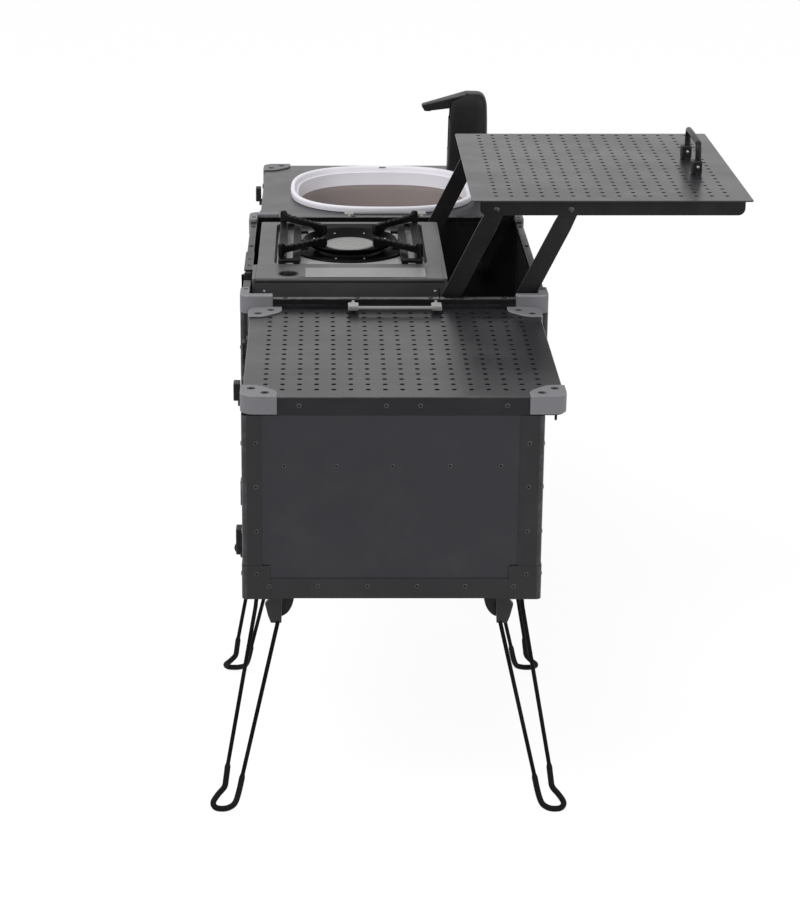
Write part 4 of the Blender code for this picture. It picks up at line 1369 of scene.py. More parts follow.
def hole_field(first: Point, counts: tuple[int, int], pitch: float, radius: float, zs: Point) -> Form:
    """Cutters for a grid of round holes.

    Args:
        first: X and Y of the first hole.
        counts: Holes along X and along Y.
        pitch: Distance between two holes.
        radius: The holes' radius.
        zs: Lowest and highest Z of the cutters.

    Returns:
        The cutters as one form.
    """
    places = []
    for i in range(counts[0]):
        for j in range(counts[1]):
            places.append(Matrix.Translation((first[0] + pitch * i, first[1] + pitch * j, 0)))
    return Form().stamp(Form.rod((0, 0, zs[0]), (0, 0, zs[1]), radius, steps=16), places)


@dataclass(frozen=True)
class PullHandle:
    """A fixed bail: a bent bar between two blocks."""

    length: float
    reach: float
    bar_radius: float
    block: tuple[float, float, float]
    bend: float = 0.008
    block_start: float = 0.0
    bar_lift: float = 0.0

    def build(self) -> Form:
        """The handle, its length along X, reaching out along Y, lying on Z 0.

        Returns:
            The handle.
        """
        half = self.length / 2 - self.block[0] / 2
        rise = self.block[2] / 2 + self.bar_lift
        root = 0.0002 if self.block_start else self.block[1] * 0.5
        far, ease = self.reach - self.bar_radius, self.bend * 0.3
        hook = [(half, root), (half, far - self.bend), (half - ease, far - ease), (half - self.bend, far)]
        bends = [*((-x, y) for x, y in hook), *reversed(hook)]
        bars = smooth_path([Vector((x, y, rise)) for x, y in bends], 5)
        handle = Form.tube(bars, [self.bar_radius] * len(bars), 14)
        for side in (-1, 1):
            left, right = span(side * half, self.block[0] / 2)
            end = self.block_start + self.block[1]
            handle.absorb(Form.block((left, self.block_start, 0), (right, end, self.block[2]), 0.0018, 3))
        return handle


# Cabinets


@dataclass
class Cabinet:
    """One cabinet. Its v axis runs from its outer end, at 0, to the tub side, at its length."""

    shop: Workshop
    prefix: str
    length: float
    outer_y: float
    inward: int
    skirt: float = 0.024
    sheet: float = 0.0015
    corner_round: float = 0.015
    edge_round: float = 0.0013
    hole_radius: float = 0.0034
    hole_pitch: float = 0.022
    first_hole: tuple[float, float] = (-0.1762, 0.0321)
    hole_counts: tuple[int, int] = (17, 17)
    panel_sheet: float = 0.003
    panel_inset: float = 0.0035
    skin: float = 0.0015
    trim_sheet: float = 0.0012
    trim_wrap: float = 0.020
    trim_edge: float = 0.0003
    post_round: float = 0.0065
    front_post: float = 0.0235
    rear_post: float = 0.029
    bottom_rail: float = 0.026
    shoe_height: float = 0.044
    shoe_proud: float = 0.0009
    shoe_wrap: float = 0.024
    shoe_reach: tuple[float, float] = (0.034, 0.040)
    rivet_radius: float = 0.0034
    rivet_height: float = 0.0012
    # Height of each row on the outer end, how far it stands out, and X of its rivets
    rivet_rows: tuple[tuple[float, float, tuple[float, ...]], ...] = (
        (-0.011, 0.0, (-0.1326, -0.0219, 0.0215, 0.1317)),
        (-0.092, 0.0, (-0.1519, -0.0853, -0.0133, 0.0602, 0.1253)),
        (-0.257, 0.0015, (-0.1092, -0.0443, 0.0197, 0.0822)),
        (-0.257, 0.0024, (-0.1719, 0.1449)),
    )
    # Heights of the posts' rivets, and their X on the front and the rear post
    post_rivets: tuple[float, ...] = (-0.061, -0.120, -0.181, -0.240)
    post_middles: tuple[float, float] = (-0.188, 0.161)
    wrap_middle: float = 0.011
    wrap_below: float = 0.004
    skirt_rivets: tuple[float, ...] = (0.105, 0.203, 0.301)
    skirt_middle: float = -0.012
    latch_station: float = 0.110
    latch_width: float = 0.018
    # X of the latch block's inner face
    latch_inner: float = -0.2118
    # X of the outer face and Z of both ends of the blocks on the door
    latch_block: tuple[float, float, float] = (-0.2195, -0.0385, -0.0140)
    hinge_block: tuple[float, float, float] = (-0.2183, -0.2545, -0.2180)
    hinge_half: float = 0.010
    block_round: float = 0.0016
    pin_spot: tuple[float, float] = (0.1946, 0.012)
    pin_radius: float = 0.0017
    leg_middles: tuple[float, float] = (-0.162, 0.132)
    leg_station: float = 0.038
    leg_pivot: float = -0.287

    def name(self, piece: str) -> str:
        """The name of one piece of this cabinet."""
        return f"{self.prefix}_{piece}"

    def y(self, v: float) -> float:
        """Y of a distance from the outer end."""
        return self.outer_y + self.inward * v

    def box(self, xs: Point, vs: Point, zs: Point, round_by: float = 0.0) -> Form:
        """A box given by X, distances from the outer end, and Z."""
        return Form.block((xs[0], self.y(vs[0]), zs[0]), (xs[1], self.y(vs[1]), zs[1]), round_by)

    def top_skin(self) -> Form:
        """The worktop's sheet with its edges turned down, before any opening is cut.

        Returns:
            The sheet, its top at Z 0.
        """
        half = LAYOUT.half_width
        tray = self.box((-half, half), (0, self.length), (-self.skirt, 0))
        tray.round_edges(tray.uprights(), self.corner_round, 7)
        tray.round_edges(tray.edges_at(0.0), self.edge_round, 3)
        tray.drop_faces(lambda face: face.normal.z < -0.9)
        return tray.walled(self.sheet)

    def worktop(self, openings: Sequence[Form]) -> None:
        """Makes the worktop.

        Args:
            openings: What is cut out of it.
        """
        tray = self.top_skin()
        # Upright faces take the darker copy of the coat, as painted shade on the turned-down edges
        for face in tray.bm.faces:
            face.material_index = int(abs(face.normal.z) < 0.3)
        tray.cut(*openings)
        name = self.name("worktop")
        self.shop.deliver(name, tray, BASE, [WORKTOP, SKIRT_SHADE], "worktop_grey", [name])

    def latch_stations(self) -> Point:
        """Where the two latches and the two hinges of the door sit."""
        return self.latch_station, self.length - self.latch_station

    def catches(self) -> None:
        """The two keepers on the worktop's edge that the latches hook over."""
        keepers = Form()
        front, half = -LAYOUT.half_width, self.latch_width / 2
        for v in self.latch_stations():
            keepers.absorb(
                self.box((front - 0.0003, front - 0.0012), span(v, half + 0.002), (-0.0075, -0.0195), 0.0003),
                self.box((front - 0.0008, front - 0.0028), span(v, half), (-0.0095, -0.0150), 0.0006),
            )
        self.shop.deliver(self.name("latch_keepers"), keepers, BASE, BLACK, "black_metal")

    def riveted_end(self) -> None:
        """The end panel, its edge frame with corner shoes, and every rivet."""
        front, rear = LAYOUT.body_front, LAYOUT.body_rear
        low, high = -LAYOUT.cabinet_height, -self.skirt - LAYOUT.gap
        name, inset = self.name("end_panel"), self.panel_inset
        panel = self.box((front + inset, rear - inset), (0, self.panel_sheet), (low, high), 0.0002)
        self.shop.deliver(name, panel, BASE, PANEL, "charcoal_panel", [name])

        name = self.name("edge_frame")
        trim = self.angle_trim(self.skin, high, self.trim_wrap)
        window = (front + self.front_post, rear - self.rear_post)
        trim.cut(self.box(window, (-PAST, self.panel_sheet), (low + self.bottom_rail, PAST)))
        shoes = self.angle_trim(self.skin + self.shoe_proud, low + self.shoe_height, self.shoe_wrap)
        between = (front + self.shoe_reach[0], rear - self.shoe_reach[1])
        shoes.cut(self.box(between, (-PAST, PAST), (low - PAST, PAST)))
        trim.soften(self.trim_edge).absorb(shoes.soften(self.trim_edge))
        self.shop.deliver(name, trim, BASE, TRIM, "trim_black", [name])
        self.rivets()

    def round_outer(self, form: Form, v: float, radius: float) -> None:
        """Rounds the uprights that stand at one distance from the outer end.

        Args:
            form: The solid to round.
            v: The distance from the outer end.
            radius: The rounding.
        """
        edges = [e for e in form.uprights() if abs(e.verts[0].co.y - self.y(v)) < TINY]
        form.round_edges(edges, radius, 6)

    def angle_trim(self, skin: float, top: float, wrap: float) -> Form:
        """Angle stock wrapped round the end's sides and bottom.

        Args:
            skin: How far its outer face stands off the body.
            top: Height of its top.
            wrap: How far it reaches along the sides.

        Returns:
            The angle stock, still without its window.
        """
        front, rear, low = LAYOUT.body_front, LAYOUT.body_rear, -LAYOUT.cabinet_height
        trim = self.box((front - skin, rear + skin), (-skin, wrap), (low - skin, top))
        self.round_outer(trim, -skin, self.post_round)
        inner = skin - self.trim_sheet
        room = self.box((front - inner, rear + inner), (-inner, wrap + PAST), (low - inner, PAST))
        self.round_outer(room, -inner, self.post_round - self.trim_sheet)
        return trim.cut(room)

    def rivets(self) -> None:
        """Rivet heads on the skirt, the end panel, the posts, the shoes and the bottom rail."""
        outward = (0, -self.inward, 0)
        places = []
        for z, proud, xs in self.rivet_rows:
            places += [facing((x, self.y(-proud), z), outward) for x in xs]
        shoe_top = self.shoe_height - LAYOUT.cabinet_height
        sides = tuple(zip(self.post_middles, (LAYOUT.body_front, LAYOUT.body_rear), (-1, 1)))
        for z in self.post_rivets:
            proud = self.skin + (self.shoe_proud if z < shoe_top else 0.0)
            for x, edge, side in sides:
                places.append(facing((x, self.y(-proud), z), outward))
                where = (edge + side * proud, self.y(self.wrap_middle), z - self.wrap_below)
                places.append(facing(where, (side, 0, 0)))
        for side in (-1, 1):
            for v in self.skirt_rivets:
                where = (side * LAYOUT.half_width, self.y(v), self.skirt_middle)
                places.append(facing(where, (side, 0, 0)))
        heads = Form().stamp(pop_rivet(self.rivet_radius, self.rivet_height), places)
        # SCREW's near-black on the rivets' centres is painted shade for the mandrel holes
        self.shop.deliver(self.name("rivets"), heads, BASE, [RIVET, SCREW], "trim_black")

    def body(self) -> None:
        """The shell, the leg rails, and the drop-down door with its latches and hinge blocks."""
        keep, name, door = self.shop.keep, self.name, self.name("door")
        keep(name("shell"), BASE, PANEL, "charcoal_panel")
        keep(name("front_door"), door, PANEL, "charcoal_panel")
        outer = self.shop.copy_of(name("latch_outer")).soften()
        face, low, high = self.latch_block
        ends = span(self.latch_station, self.latch_width / 2 - 0.0005)
        outer.absorb(self.box((face, self.latch_inner), ends, (low, high), self.block_round))
        lever = name("latch_outer_lever")
        self.shop.deliver(name("latch_outer"), outer, lever, BLACK, "black_metal", [name("latch_outer")])
        keep(name("latch_inner"), name("latch_inner_lever"), BLACK, "black_metal")
        keep(name("leg_rail_front"), BASE, BLACK, "black_metal")
        keep(name("leg_rail_rear"), BASE, BLACK, "black_metal")

        blocks = Form()
        face, low, high = self.hinge_block
        for v in self.latch_stations():
            xs = (face, LAYOUT.body_front + 0.0005)
            blocks.absorb(self.box(xs, span(v, self.hinge_half), (low, high), self.block_round))
        self.shop.deliver(name("hinge_blocks"), blocks, door, BLACK, "black_metal")

    def caps(self) -> None:
        """Four corner caps on the worktop, and the lock pin that hangs under the outer rear one."""
        cap = CornerCap(corner_round=self.corner_round + 0.003)
        for x_tag, x_sign in (("front", -1), ("rear", 1)):
            for v_tag, v in (("outer", 0.0), ("inner", self.length)):
                into = self.inward if v == 0 else -self.inward
                name = self.name(f"cap_{x_tag}_{v_tag}")
                corner = (x_sign * LAYOUT.half_width, self.y(v))
                form = cap.build(cap.plate_outline(), 0.0, corner, (-x_sign, into))
                self.shop.deliver(name, form, BASE, [CAP, SCREW], "cap_grey", [name])
        x, y, r = self.pin_spot[0], self.y(self.pin_spot[1]), self.pin_radius
        pin = Form.rod((x, y, -0.0015), (x, y, -0.0335), r, steps=12)
        pin.absorb(Form.rod((x, y, -0.0330), (x, y, -0.0345), r, 0.0010, 12))
        self.shop.deliver(self.name("lock_pin"), pin, BASE, BLACK, "black_metal")

    def legs(self) -> None:
        """Four hairpin legs with rubber sleeves round their feet, each beside a fixed cheek."""
        leg, cheeks = HairpinLeg(), Form()
        outer, inner = self.leg_station, self.length - self.leg_station
        ends = (("outer", outer, -self.inward), ("inner", inner, self.inward))
        for x_tag, x, out in zip(("front", "rear"), self.leg_middles, (-1, 1)):
            for v_tag, v, way in ends:
                name = self.name(f"leg_{x_tag}_{v_tag}")
                body = f"{name}_swing"
                place = mirrored((x, self.y(v), self.leg_pivot), (out, way))
                wire, sleeve = leg.wire().placed(place), leg.rubber().placed(place)
                self.shop.deliver(name, wire, body, [LEG, TRIM], "black_metal", [name])
                self.shop.deliver(f"{name}_sleeve", sleeve, body, LEG_RUBBER, "black_metal")
                cheeks.absorb(leg.cheek().placed(place))
        self.shop.deliver(self.name("leg_cheeks"), cheeks, BASE, BLACK, "black_metal")

    def build(self, openings: Sequence[Form]) -> None:
        """Makes every piece of the cabinet.

        Args:
            openings: What is cut out of the worktop.
        """
        self.worktop(openings)
        self.catches()
        self.riveted_end()
        self.body()
        self.caps()
        self.legs()

    def perforation(self) -> Form:
        """The cutters for the worktop's grid of holes."""
        first, depth = (self.first_hole[0], self.y(self.first_hole[1])), (-0.004, 0.002)
        return hole_field(first, self.hole_counts, self.hole_pitch, self.hole_radius, depth)


@dataclass(frozen=True)
class HairpinLeg:
    """One leg with its pivot at the origin, outward along +X, toward its end of the cabinet along +Y."""

    drop: float = 0.285
    splay: float = 0.052
    rod: float = 0.0028
    sleeve: float = 0.0040
    head_sheet: float = 0.0080
    head_reach: float = 0.028
    outer_top: float = 0.027
    outer_foot: float = 0.067
    inner_foot: float = 0.047
    foot_reach: float = 0.088
    outer_share: float = 0.790
    inner_share: float = 0.84
    mouth: float = 0.0012

    def at(self, across: float, z: float) -> Vector:
        """A point of the leg, which leans out toward the cabinet's end on its way down."""
        return Vector((across, self.splay * z / -self.drop, z))

    def loop(self) -> list[Vector]:
        """The foot, from the outer rod round to the inner one.

        Returns:
            The points that the wire's middle follows.
        """
        low = -self.drop + self.sleeve
        outer, inner, far = self.outer_foot, self.inner_foot, self.foot_reach
        # Across, above the lowest point, and pushed out toward the cabinet's end
        bends = (
            (outer + 0.0020, 0.0365, 0), (outer + 0.0042, 0.0255, 0), (outer + 0.0125, 0.0155, 0),
            (far - 0.0020, 0.0070, 0.0050), (far - 0.0050, 0.0015, 0.0080), (far - 0.0135, 0, 0.0088),
            (inner + 0.0180, 0.0012, 0.0078), (inner + 0.0100, 0.0060, 0.0045), (inner + 0.0050, 0.0190, 0),
        )
        foot = [self.at(across, low + up) + Vector((0, push, 0)) for across, up, push in bends]
        start = self.at(outer - 0.0005, -self.drop * self.outer_share)
        end = self.at(inner, -self.drop * self.inner_share)
        return smooth_path([start, *foot, end], 5)

    def wire(self) -> Form:
        """The bent wire and its flat head.

        Returns:
            The wire, with its head as finish 1.
        """
        reach, top = self.head_reach, self.outer_top
        bends = ((reach / 3, 0.0055), (top * 0.78, 0.0050), (top, -0.0020), (top + 0.0018, -reach / 2))
        path = smooth_path([self.at(*bend) for bend in bends], 4)
        path += self.loop()
        path += [self.at(0.0, -reach * 1.3), self.at(0.0, -reach * 1.2)]
        leg = Form.tube(path, [self.rod] * len(path), 12)
        head = Form.plate(self.head_outline(), self.head_sheet, FACING_Y).moved(0, self.head_sheet, 0)
        return leg.absorb(head.soften(0.0008).paint(1))

    def rubber(self) -> Form:
        """The sleeve round the foot, with rounded mouths.

        Returns:
            The sleeve.
        """
        path = self.loop()
        start = path[0] + (path[0] - path[1]).normalized() * self.mouth
        end = path[-1] + (path[-1] - path[-2]).normalized() * self.mouth
        lip = [self.rod + 0.0002, self.sleeve - 0.0008]
        radii = [*lip, *[self.sleeve] * (len(path) - 2), *reversed(lip)]
        return Form.tube([start, *path, end], radii, 14)

    def cheek(self) -> Form:
        """The fixed quarter-round cheek beside the head, on the side away from the cabinet's end.

        Returns:
            The cheek.
        """
        edge, top = -0.0015, 0.0105
        # A quarter circle, drawn out downward
        bow = [(x, z * 1.6) for x, z in [*arc((edge, 0.0), 0.0205, 180, 262, 10), (edge, -0.0240)]]
        cheek = Form.plate([(-0.0220, top), *bow, (edge, top)], 0.0025, FACING_Y).moved(0, -0.0060, 0)
        return cheek.soften(0.0006)

    def head_outline(self) -> Outline:
        """The flat head: round about the pivot, tapering down to the inner rod.

        Returns:
            The outline.
        """
        reach = self.head_reach + 0.0080
        taper = [(-0.0052, -reach), (0.0088, -reach), (0.0125, -reach * 0.72), (0.0165, -reach * 0.25)]
        return arc((0, 0), 0.0065, 40, 180, 10) + taper


# Tub, arms and shelf


@dataclass
class Tub:
    """The tub between the cabinets: shell, bench, rim, caps, corner posts, handles and small fittings."""

    shop: Workshop
    rail: float = 0.0105
    rail_round: float = 0.0065
    notch: tuple[float, float] = (0.514, 0.560)
    rivet_radius: float = 0.0040
    rivet_height: float = 0.0011
    end_rivets: tuple[float, ...] = (-0.1556, -0.0527, 0.0516, 0.1570)
    side_rivets: tuple[float, ...] = (0.593, 0.715, 0.837)
    wall_outer: float = -0.2158
    wall_inset: float = 0.0018
    post_leg: float = 0.024
    post_round: float = 0.006
    # How far the posts' faces stand out: along X beyond the rim, and along Y from the tub's end
    post_proud: tuple[float, float] = (0.0026, 0.0006)
    post_ends: tuple[float, float] = (-0.1550, -0.0092)
    post_rivets: tuple[float, ...] = (-0.0627, -0.1250)
    handle_lift: float = 0.0048
    catch_pin: tuple[float, float] = (0.0650, 0.4330)
    stop_rivets: tuple[float, ...] = (0.590, 0.625)

    def rim(self) -> None:
        """The four rails round the mouth, with rivets along them."""
        start, end, rail = LAYOUT.tub_start, LAYOUT.tub_end, self.rail
        outer, inner = LAYOUT.rim_outer, LAYOUT.rim_inner
        rails = Form.block((-outer, start, LAYOUT.rim_bottom), (outer, end, LAYOUT.rim_top))
        rails.round_edges(rails.uprights(), self.rail_round, 5)
        opening = Form.block((-inner, start + rail, -PAST), (inner, end - rail, PAST))
        notch = Form.block((-0.3, self.notch[0], -PAST), (LAYOUT.gap - inner, self.notch[1], PAST))
        rails.cut(opening, notch).soften(0.0008, 3)
        self.shop.deliver("tub_rim", rails, BASE, RIM, "rim_grey", ["tub_rim"])

        rivets = [(x, y) for x in self.end_rivets for y in (start + rail / 2, end - rail / 2)]
        rivets += [(x, y) for y in self.side_rivets for x in span(0, outer - rail / 2)]
        places = [facing((x, y, LAYOUT.rim_top), (0, 0, 1)) for x, y in rivets]
        heads = Form().stamp(dome(self.rivet_radius, self.rivet_height, 12), places)
        self.shop.deliver("tub_rim_rivets", heads, BASE, SCREW, "rim_grey")

    def caps(self) -> None:
        """The four angle caps over the rim's corners."""
        raised = LAYOUT.cap_seat - LAYOUT.rim_top
        cap = CornerCap(
            shell=0.0027 + raised,
            drop=0.024 - raised,
            corner_round=0.013,
            edge_round=0.0026,
            screw_spots=((0.0052, 0.0330),),
            hole_radius=0.0034,
        )
        outline = cap.angle_outline(self.rail)
        for x_tag, x_sign in (("front", -1), ("rear", 1)):
            for y_tag, y, into in (("near", LAYOUT.tub_start, 1), ("far", LAYOUT.tub_end, -1)):
                name = f"tub_cap_{x_tag}_{y_tag}"
                form = cap.build(outline, LAYOUT.rim_top, (x_sign * LAYOUT.rim_outer, y), (-x_sign, into))
                self.shop.deliver(name, form, BASE, [CAP, SCREW], "cap_grey", [name])

    def handles(self) -> None:
        """The two pull handles that lie on the worktops."""
        block = (0.0150, 0.0185, 0.0080)
        handle = PullHandle(0.133, 0.0350, bar_radius=0.0027, block=block, bend=0.005, block_start=0.0160)
        for tag, y, way in (("near", LAYOUT.tub_start, -1), ("far", LAYOUT.tub_end, 1)):
            name = f"tub_handle_{tag}"
            place = mirrored((0, y + way * LAYOUT.gap, self.handle_lift), (1, way))
            self.shop.deliver(name, handle.build().placed(place), BASE, HANDLE, "black_metal", [name])

    def post(self) -> Form:
        """One riveted angle post, for the tub's near corner on the cook's side, with its end at Y 0.

        Returns:
            The post, with its rivets as finish 1.
        """
        face, proud, leg = LAYOUT.rim_outer + self.post_proud[0], self.post_proud[1], self.post_leg
        low, high = self.post_ends
        post = Form.block((leg - face, proud, low), (-face, leg, high))
        corner = []
        for edge in post.uprights():
            x, y = edge.verts[0].co.xy
            if x < leg / 2 - face and y < TINY + proud:
                corner.append(edge)
        post.round_edges(corner, self.post_round, 5)
        post.cut(Form.block((self.wall_outer, self.wall_inset, -0.2), (0.0, 0.1, 0.1))).soften()
        for z in self.post_rivets:
            post.absorb(dome(0.0034, 0.0012, 12).placed(facing((-face, 0.013, z), (-1, 0, 0))).paint(1))
        return post

    def posts(self) -> None:
        """The four angle posts down the tub's corners, under the caps."""
        posts = Form()
        for x_sign in (1, -1):
            for y, into in ((LAYOUT.tub_start, 1), (LAYOUT.tub_end, -1)):
                posts.absorb(self.post().placed(mirrored((0, y, 0), (x_sign, into))))
        self.shop.deliver("tub_posts", posts, BASE, [TRIM, RIVET], "trim_black")

    def fittings(self) -> None:
        """The silver catch beside the stove and the stop plate on the front rail."""
        x, y = self.catch_pin
        catch = Form.block((0.0612, 0.4300, 0.0040), (0.0668, 0.4360, 0.0100), 0.0012, 3)
        catch.absorb(Form.rod((x, y, 0.0060), (x, y, 0.0240), 0.0011, 0.0009, 12).paint(1))
        catch.absorb(Form.block((0.0590, 0.4242, 0.0020), (0.0690, 0.4380, 0.0040), 0.0006, 2))
        self.shop.deliver("tub_catch", catch, BASE, [HANDLE, SCREW], "black_metal")
        stop = Form.block((-0.2195, 0.563, 0.0133), (-0.2062, 0.668, 0.0158), 0.0007, 2)
        for y in self.stop_rivets:
            stop.absorb(dome(0.0026, 0.0010, 12).moved(-0.2125, y, 0.0158))
        self.shop.deliver("rail_stop", stop, BASE, TRIM, "trim_black")

    def build(self) -> None:
        """Makes every piece of the tub."""
        for node in ("tub_shell", "stove_tray"):
            self.shop.keep(node, BASE, TRIM, "trim_black")
        self.rim()
        self.caps()
        self.posts()
        self.handles()
        self.fittings()


@dataclass
class Shelf:
    """The perforated shelf, its four parallel arms and its pull handle."""

    shop: Workshop
    width: float = 0.3995
    near: float = 0.431
    far: float = 0.893
    # Y of each flange's outer face, and which way along Y is inward
    flanges: tuple[tuple[float, int], ...] = ((0.435, 1), (0.889, -1))
    sheet: float = 0.002
    flange_height: float = 0.0225
    flange_insets: tuple[float, float] = (0.0115, 0.0108)
    flange_round: float = 0.010
    first_hole: tuple[float, float] = (0.1455, 0.4600)
    counts: tuple[int, int] = (16, 20)
    pitch: float = 0.022
    hole_radius: float = 0.0033
    pivots: tuple[float, float] = (0.1450, 0.2510)
    pivot_z: float = 0.13823
    arm_sheet: float = 0.003
    arm_clear: float = 0.0006
    handle_inset: float = 0.0570
    handle_shift: float = 0.0060

    def plate(self) -> None:
        """The perforated plate with a flange down each end."""
        left, top = LAYOUT.shelf_front, LAYOUT.shelf_top
        plate = Form.block((left, self.near, top - self.sheet), (left + self.width, self.far, top))
        plate.round_edges(plate.uprights(), 0.0035, 4)
        plate.round_edges(plate.edges_at(top), 0.0005, 2)
        depth = (top - 0.004, top + 0.002)
        plate.cut(hole_field(self.first_hole, self.counts, self.pitch, self.hole_radius, depth))
        for outer, way in self.flanges:
            low_y = outer if way > 0 else outer - self.sheet
            flange = Form.plate(self.flange(), self.sheet, FACING_Y).moved(left, low_y + self.sheet, top)
            # The flanges are the same sheet as the plate; their near-black screw finish is painted shade
            plate.absorb(flange.soften().paint(1))
        self.shop.deliver("shelf", plate, "shelf_plate", [WORKTOP, SCREW], "worktop_grey", ["shelf"])

    def pins(self) -> None:
        """Pivot pins with a rivet head outside each flange and a round head inside each arm."""
        pins, z = Form(), self.pivot_z
        for outer, way in self.flanges:
            inner = outer + way * (self.sheet + self.arm_clear + self.arm_sheet + 0.0003)
            start, end = outer + way * self.sheet / 2, inner + way * 0.0003
            for x in self.pivots:
                pins.absorb(
                    Form.rod((x, start, z), (x, end, z), 0.0035, steps=20),
                    dome(0.0070, 0.0017, 20).placed(facing((x, inner, z), (0, way, 0))),
                    dome(0.0042, 0.0012, 16).placed(facing((x, outer, z), (0, -way, 0))),
                )
        self.shop.deliver("shelf_pins", pins, "shelf_plate", RIVET, "black_metal")

    def flange(self) -> Outline:
        """The flange from the near end, its lower corners rounded.

        Returns:
            The outline.
        """
        left, right = self.flange_insets[0], self.width - self.flange_insets[1]
        r, top = self.flange_round, -0.001
        near_corner = arc((left + r, r - self.flange_height), r, 180, 270, 6)
        far_corner = arc((right - r, r - self.flange_height), r, 270, 360, 6)
        return [(left, top), *near_corner, *far_corner, (right, top)]

    def handle(self) -> None:
        """The upright pull handle near the rear edge."""
        block = (0.0165, 0.0205, 0.0155)
        bail = PullHandle(0.1235, 0.0500, bar_radius=0.0045, block=block, bend=0.012, bar_lift=0.0020)
        x = LAYOUT.shelf_front + self.width - self.handle_inset
        z = LAYOUT.shelf_top + LAYOUT.gap
        middle = LAYOUT.tub_middle - self.handle_shift
        form = bail.build().moved(0, 0, -0.0078).placed(Matrix.Translation((x, middle, z)) @ FACING_X)
        self.shop.deliver("shelf_handle", form, "shelf_plate", BLACK, "black_metal", ["shelf_handle"])
        screws = Form()
        for face in (middle - bail.length / 2, middle + bail.length / 2 - bail.block[0]):
            screws.absorb(dome(0.0023, 0.0010, 14).placed(facing((x + 0.0012, face, z + 0.0115), (0, -1, 0))))
        self.shop.deliver("shelf_handle_screws", screws, "shelf_plate", STEEL, "black_metal")

    def arms(self) -> None:
        """The four flat arms, their edges broken."""
        for end in ("near", "far"):
            for tag in ("front", "rear"):
                name = f"arm_{end}_{tag}"
                self.shop.keep(name, f"{name}_swing", BLACK, "black_metal", 0.0005)

    def build(self) -> None:
        """Makes every piece of the shelf."""
        self.plate()
        self.pins()
        self.handle()
        self.arms()


# Stove


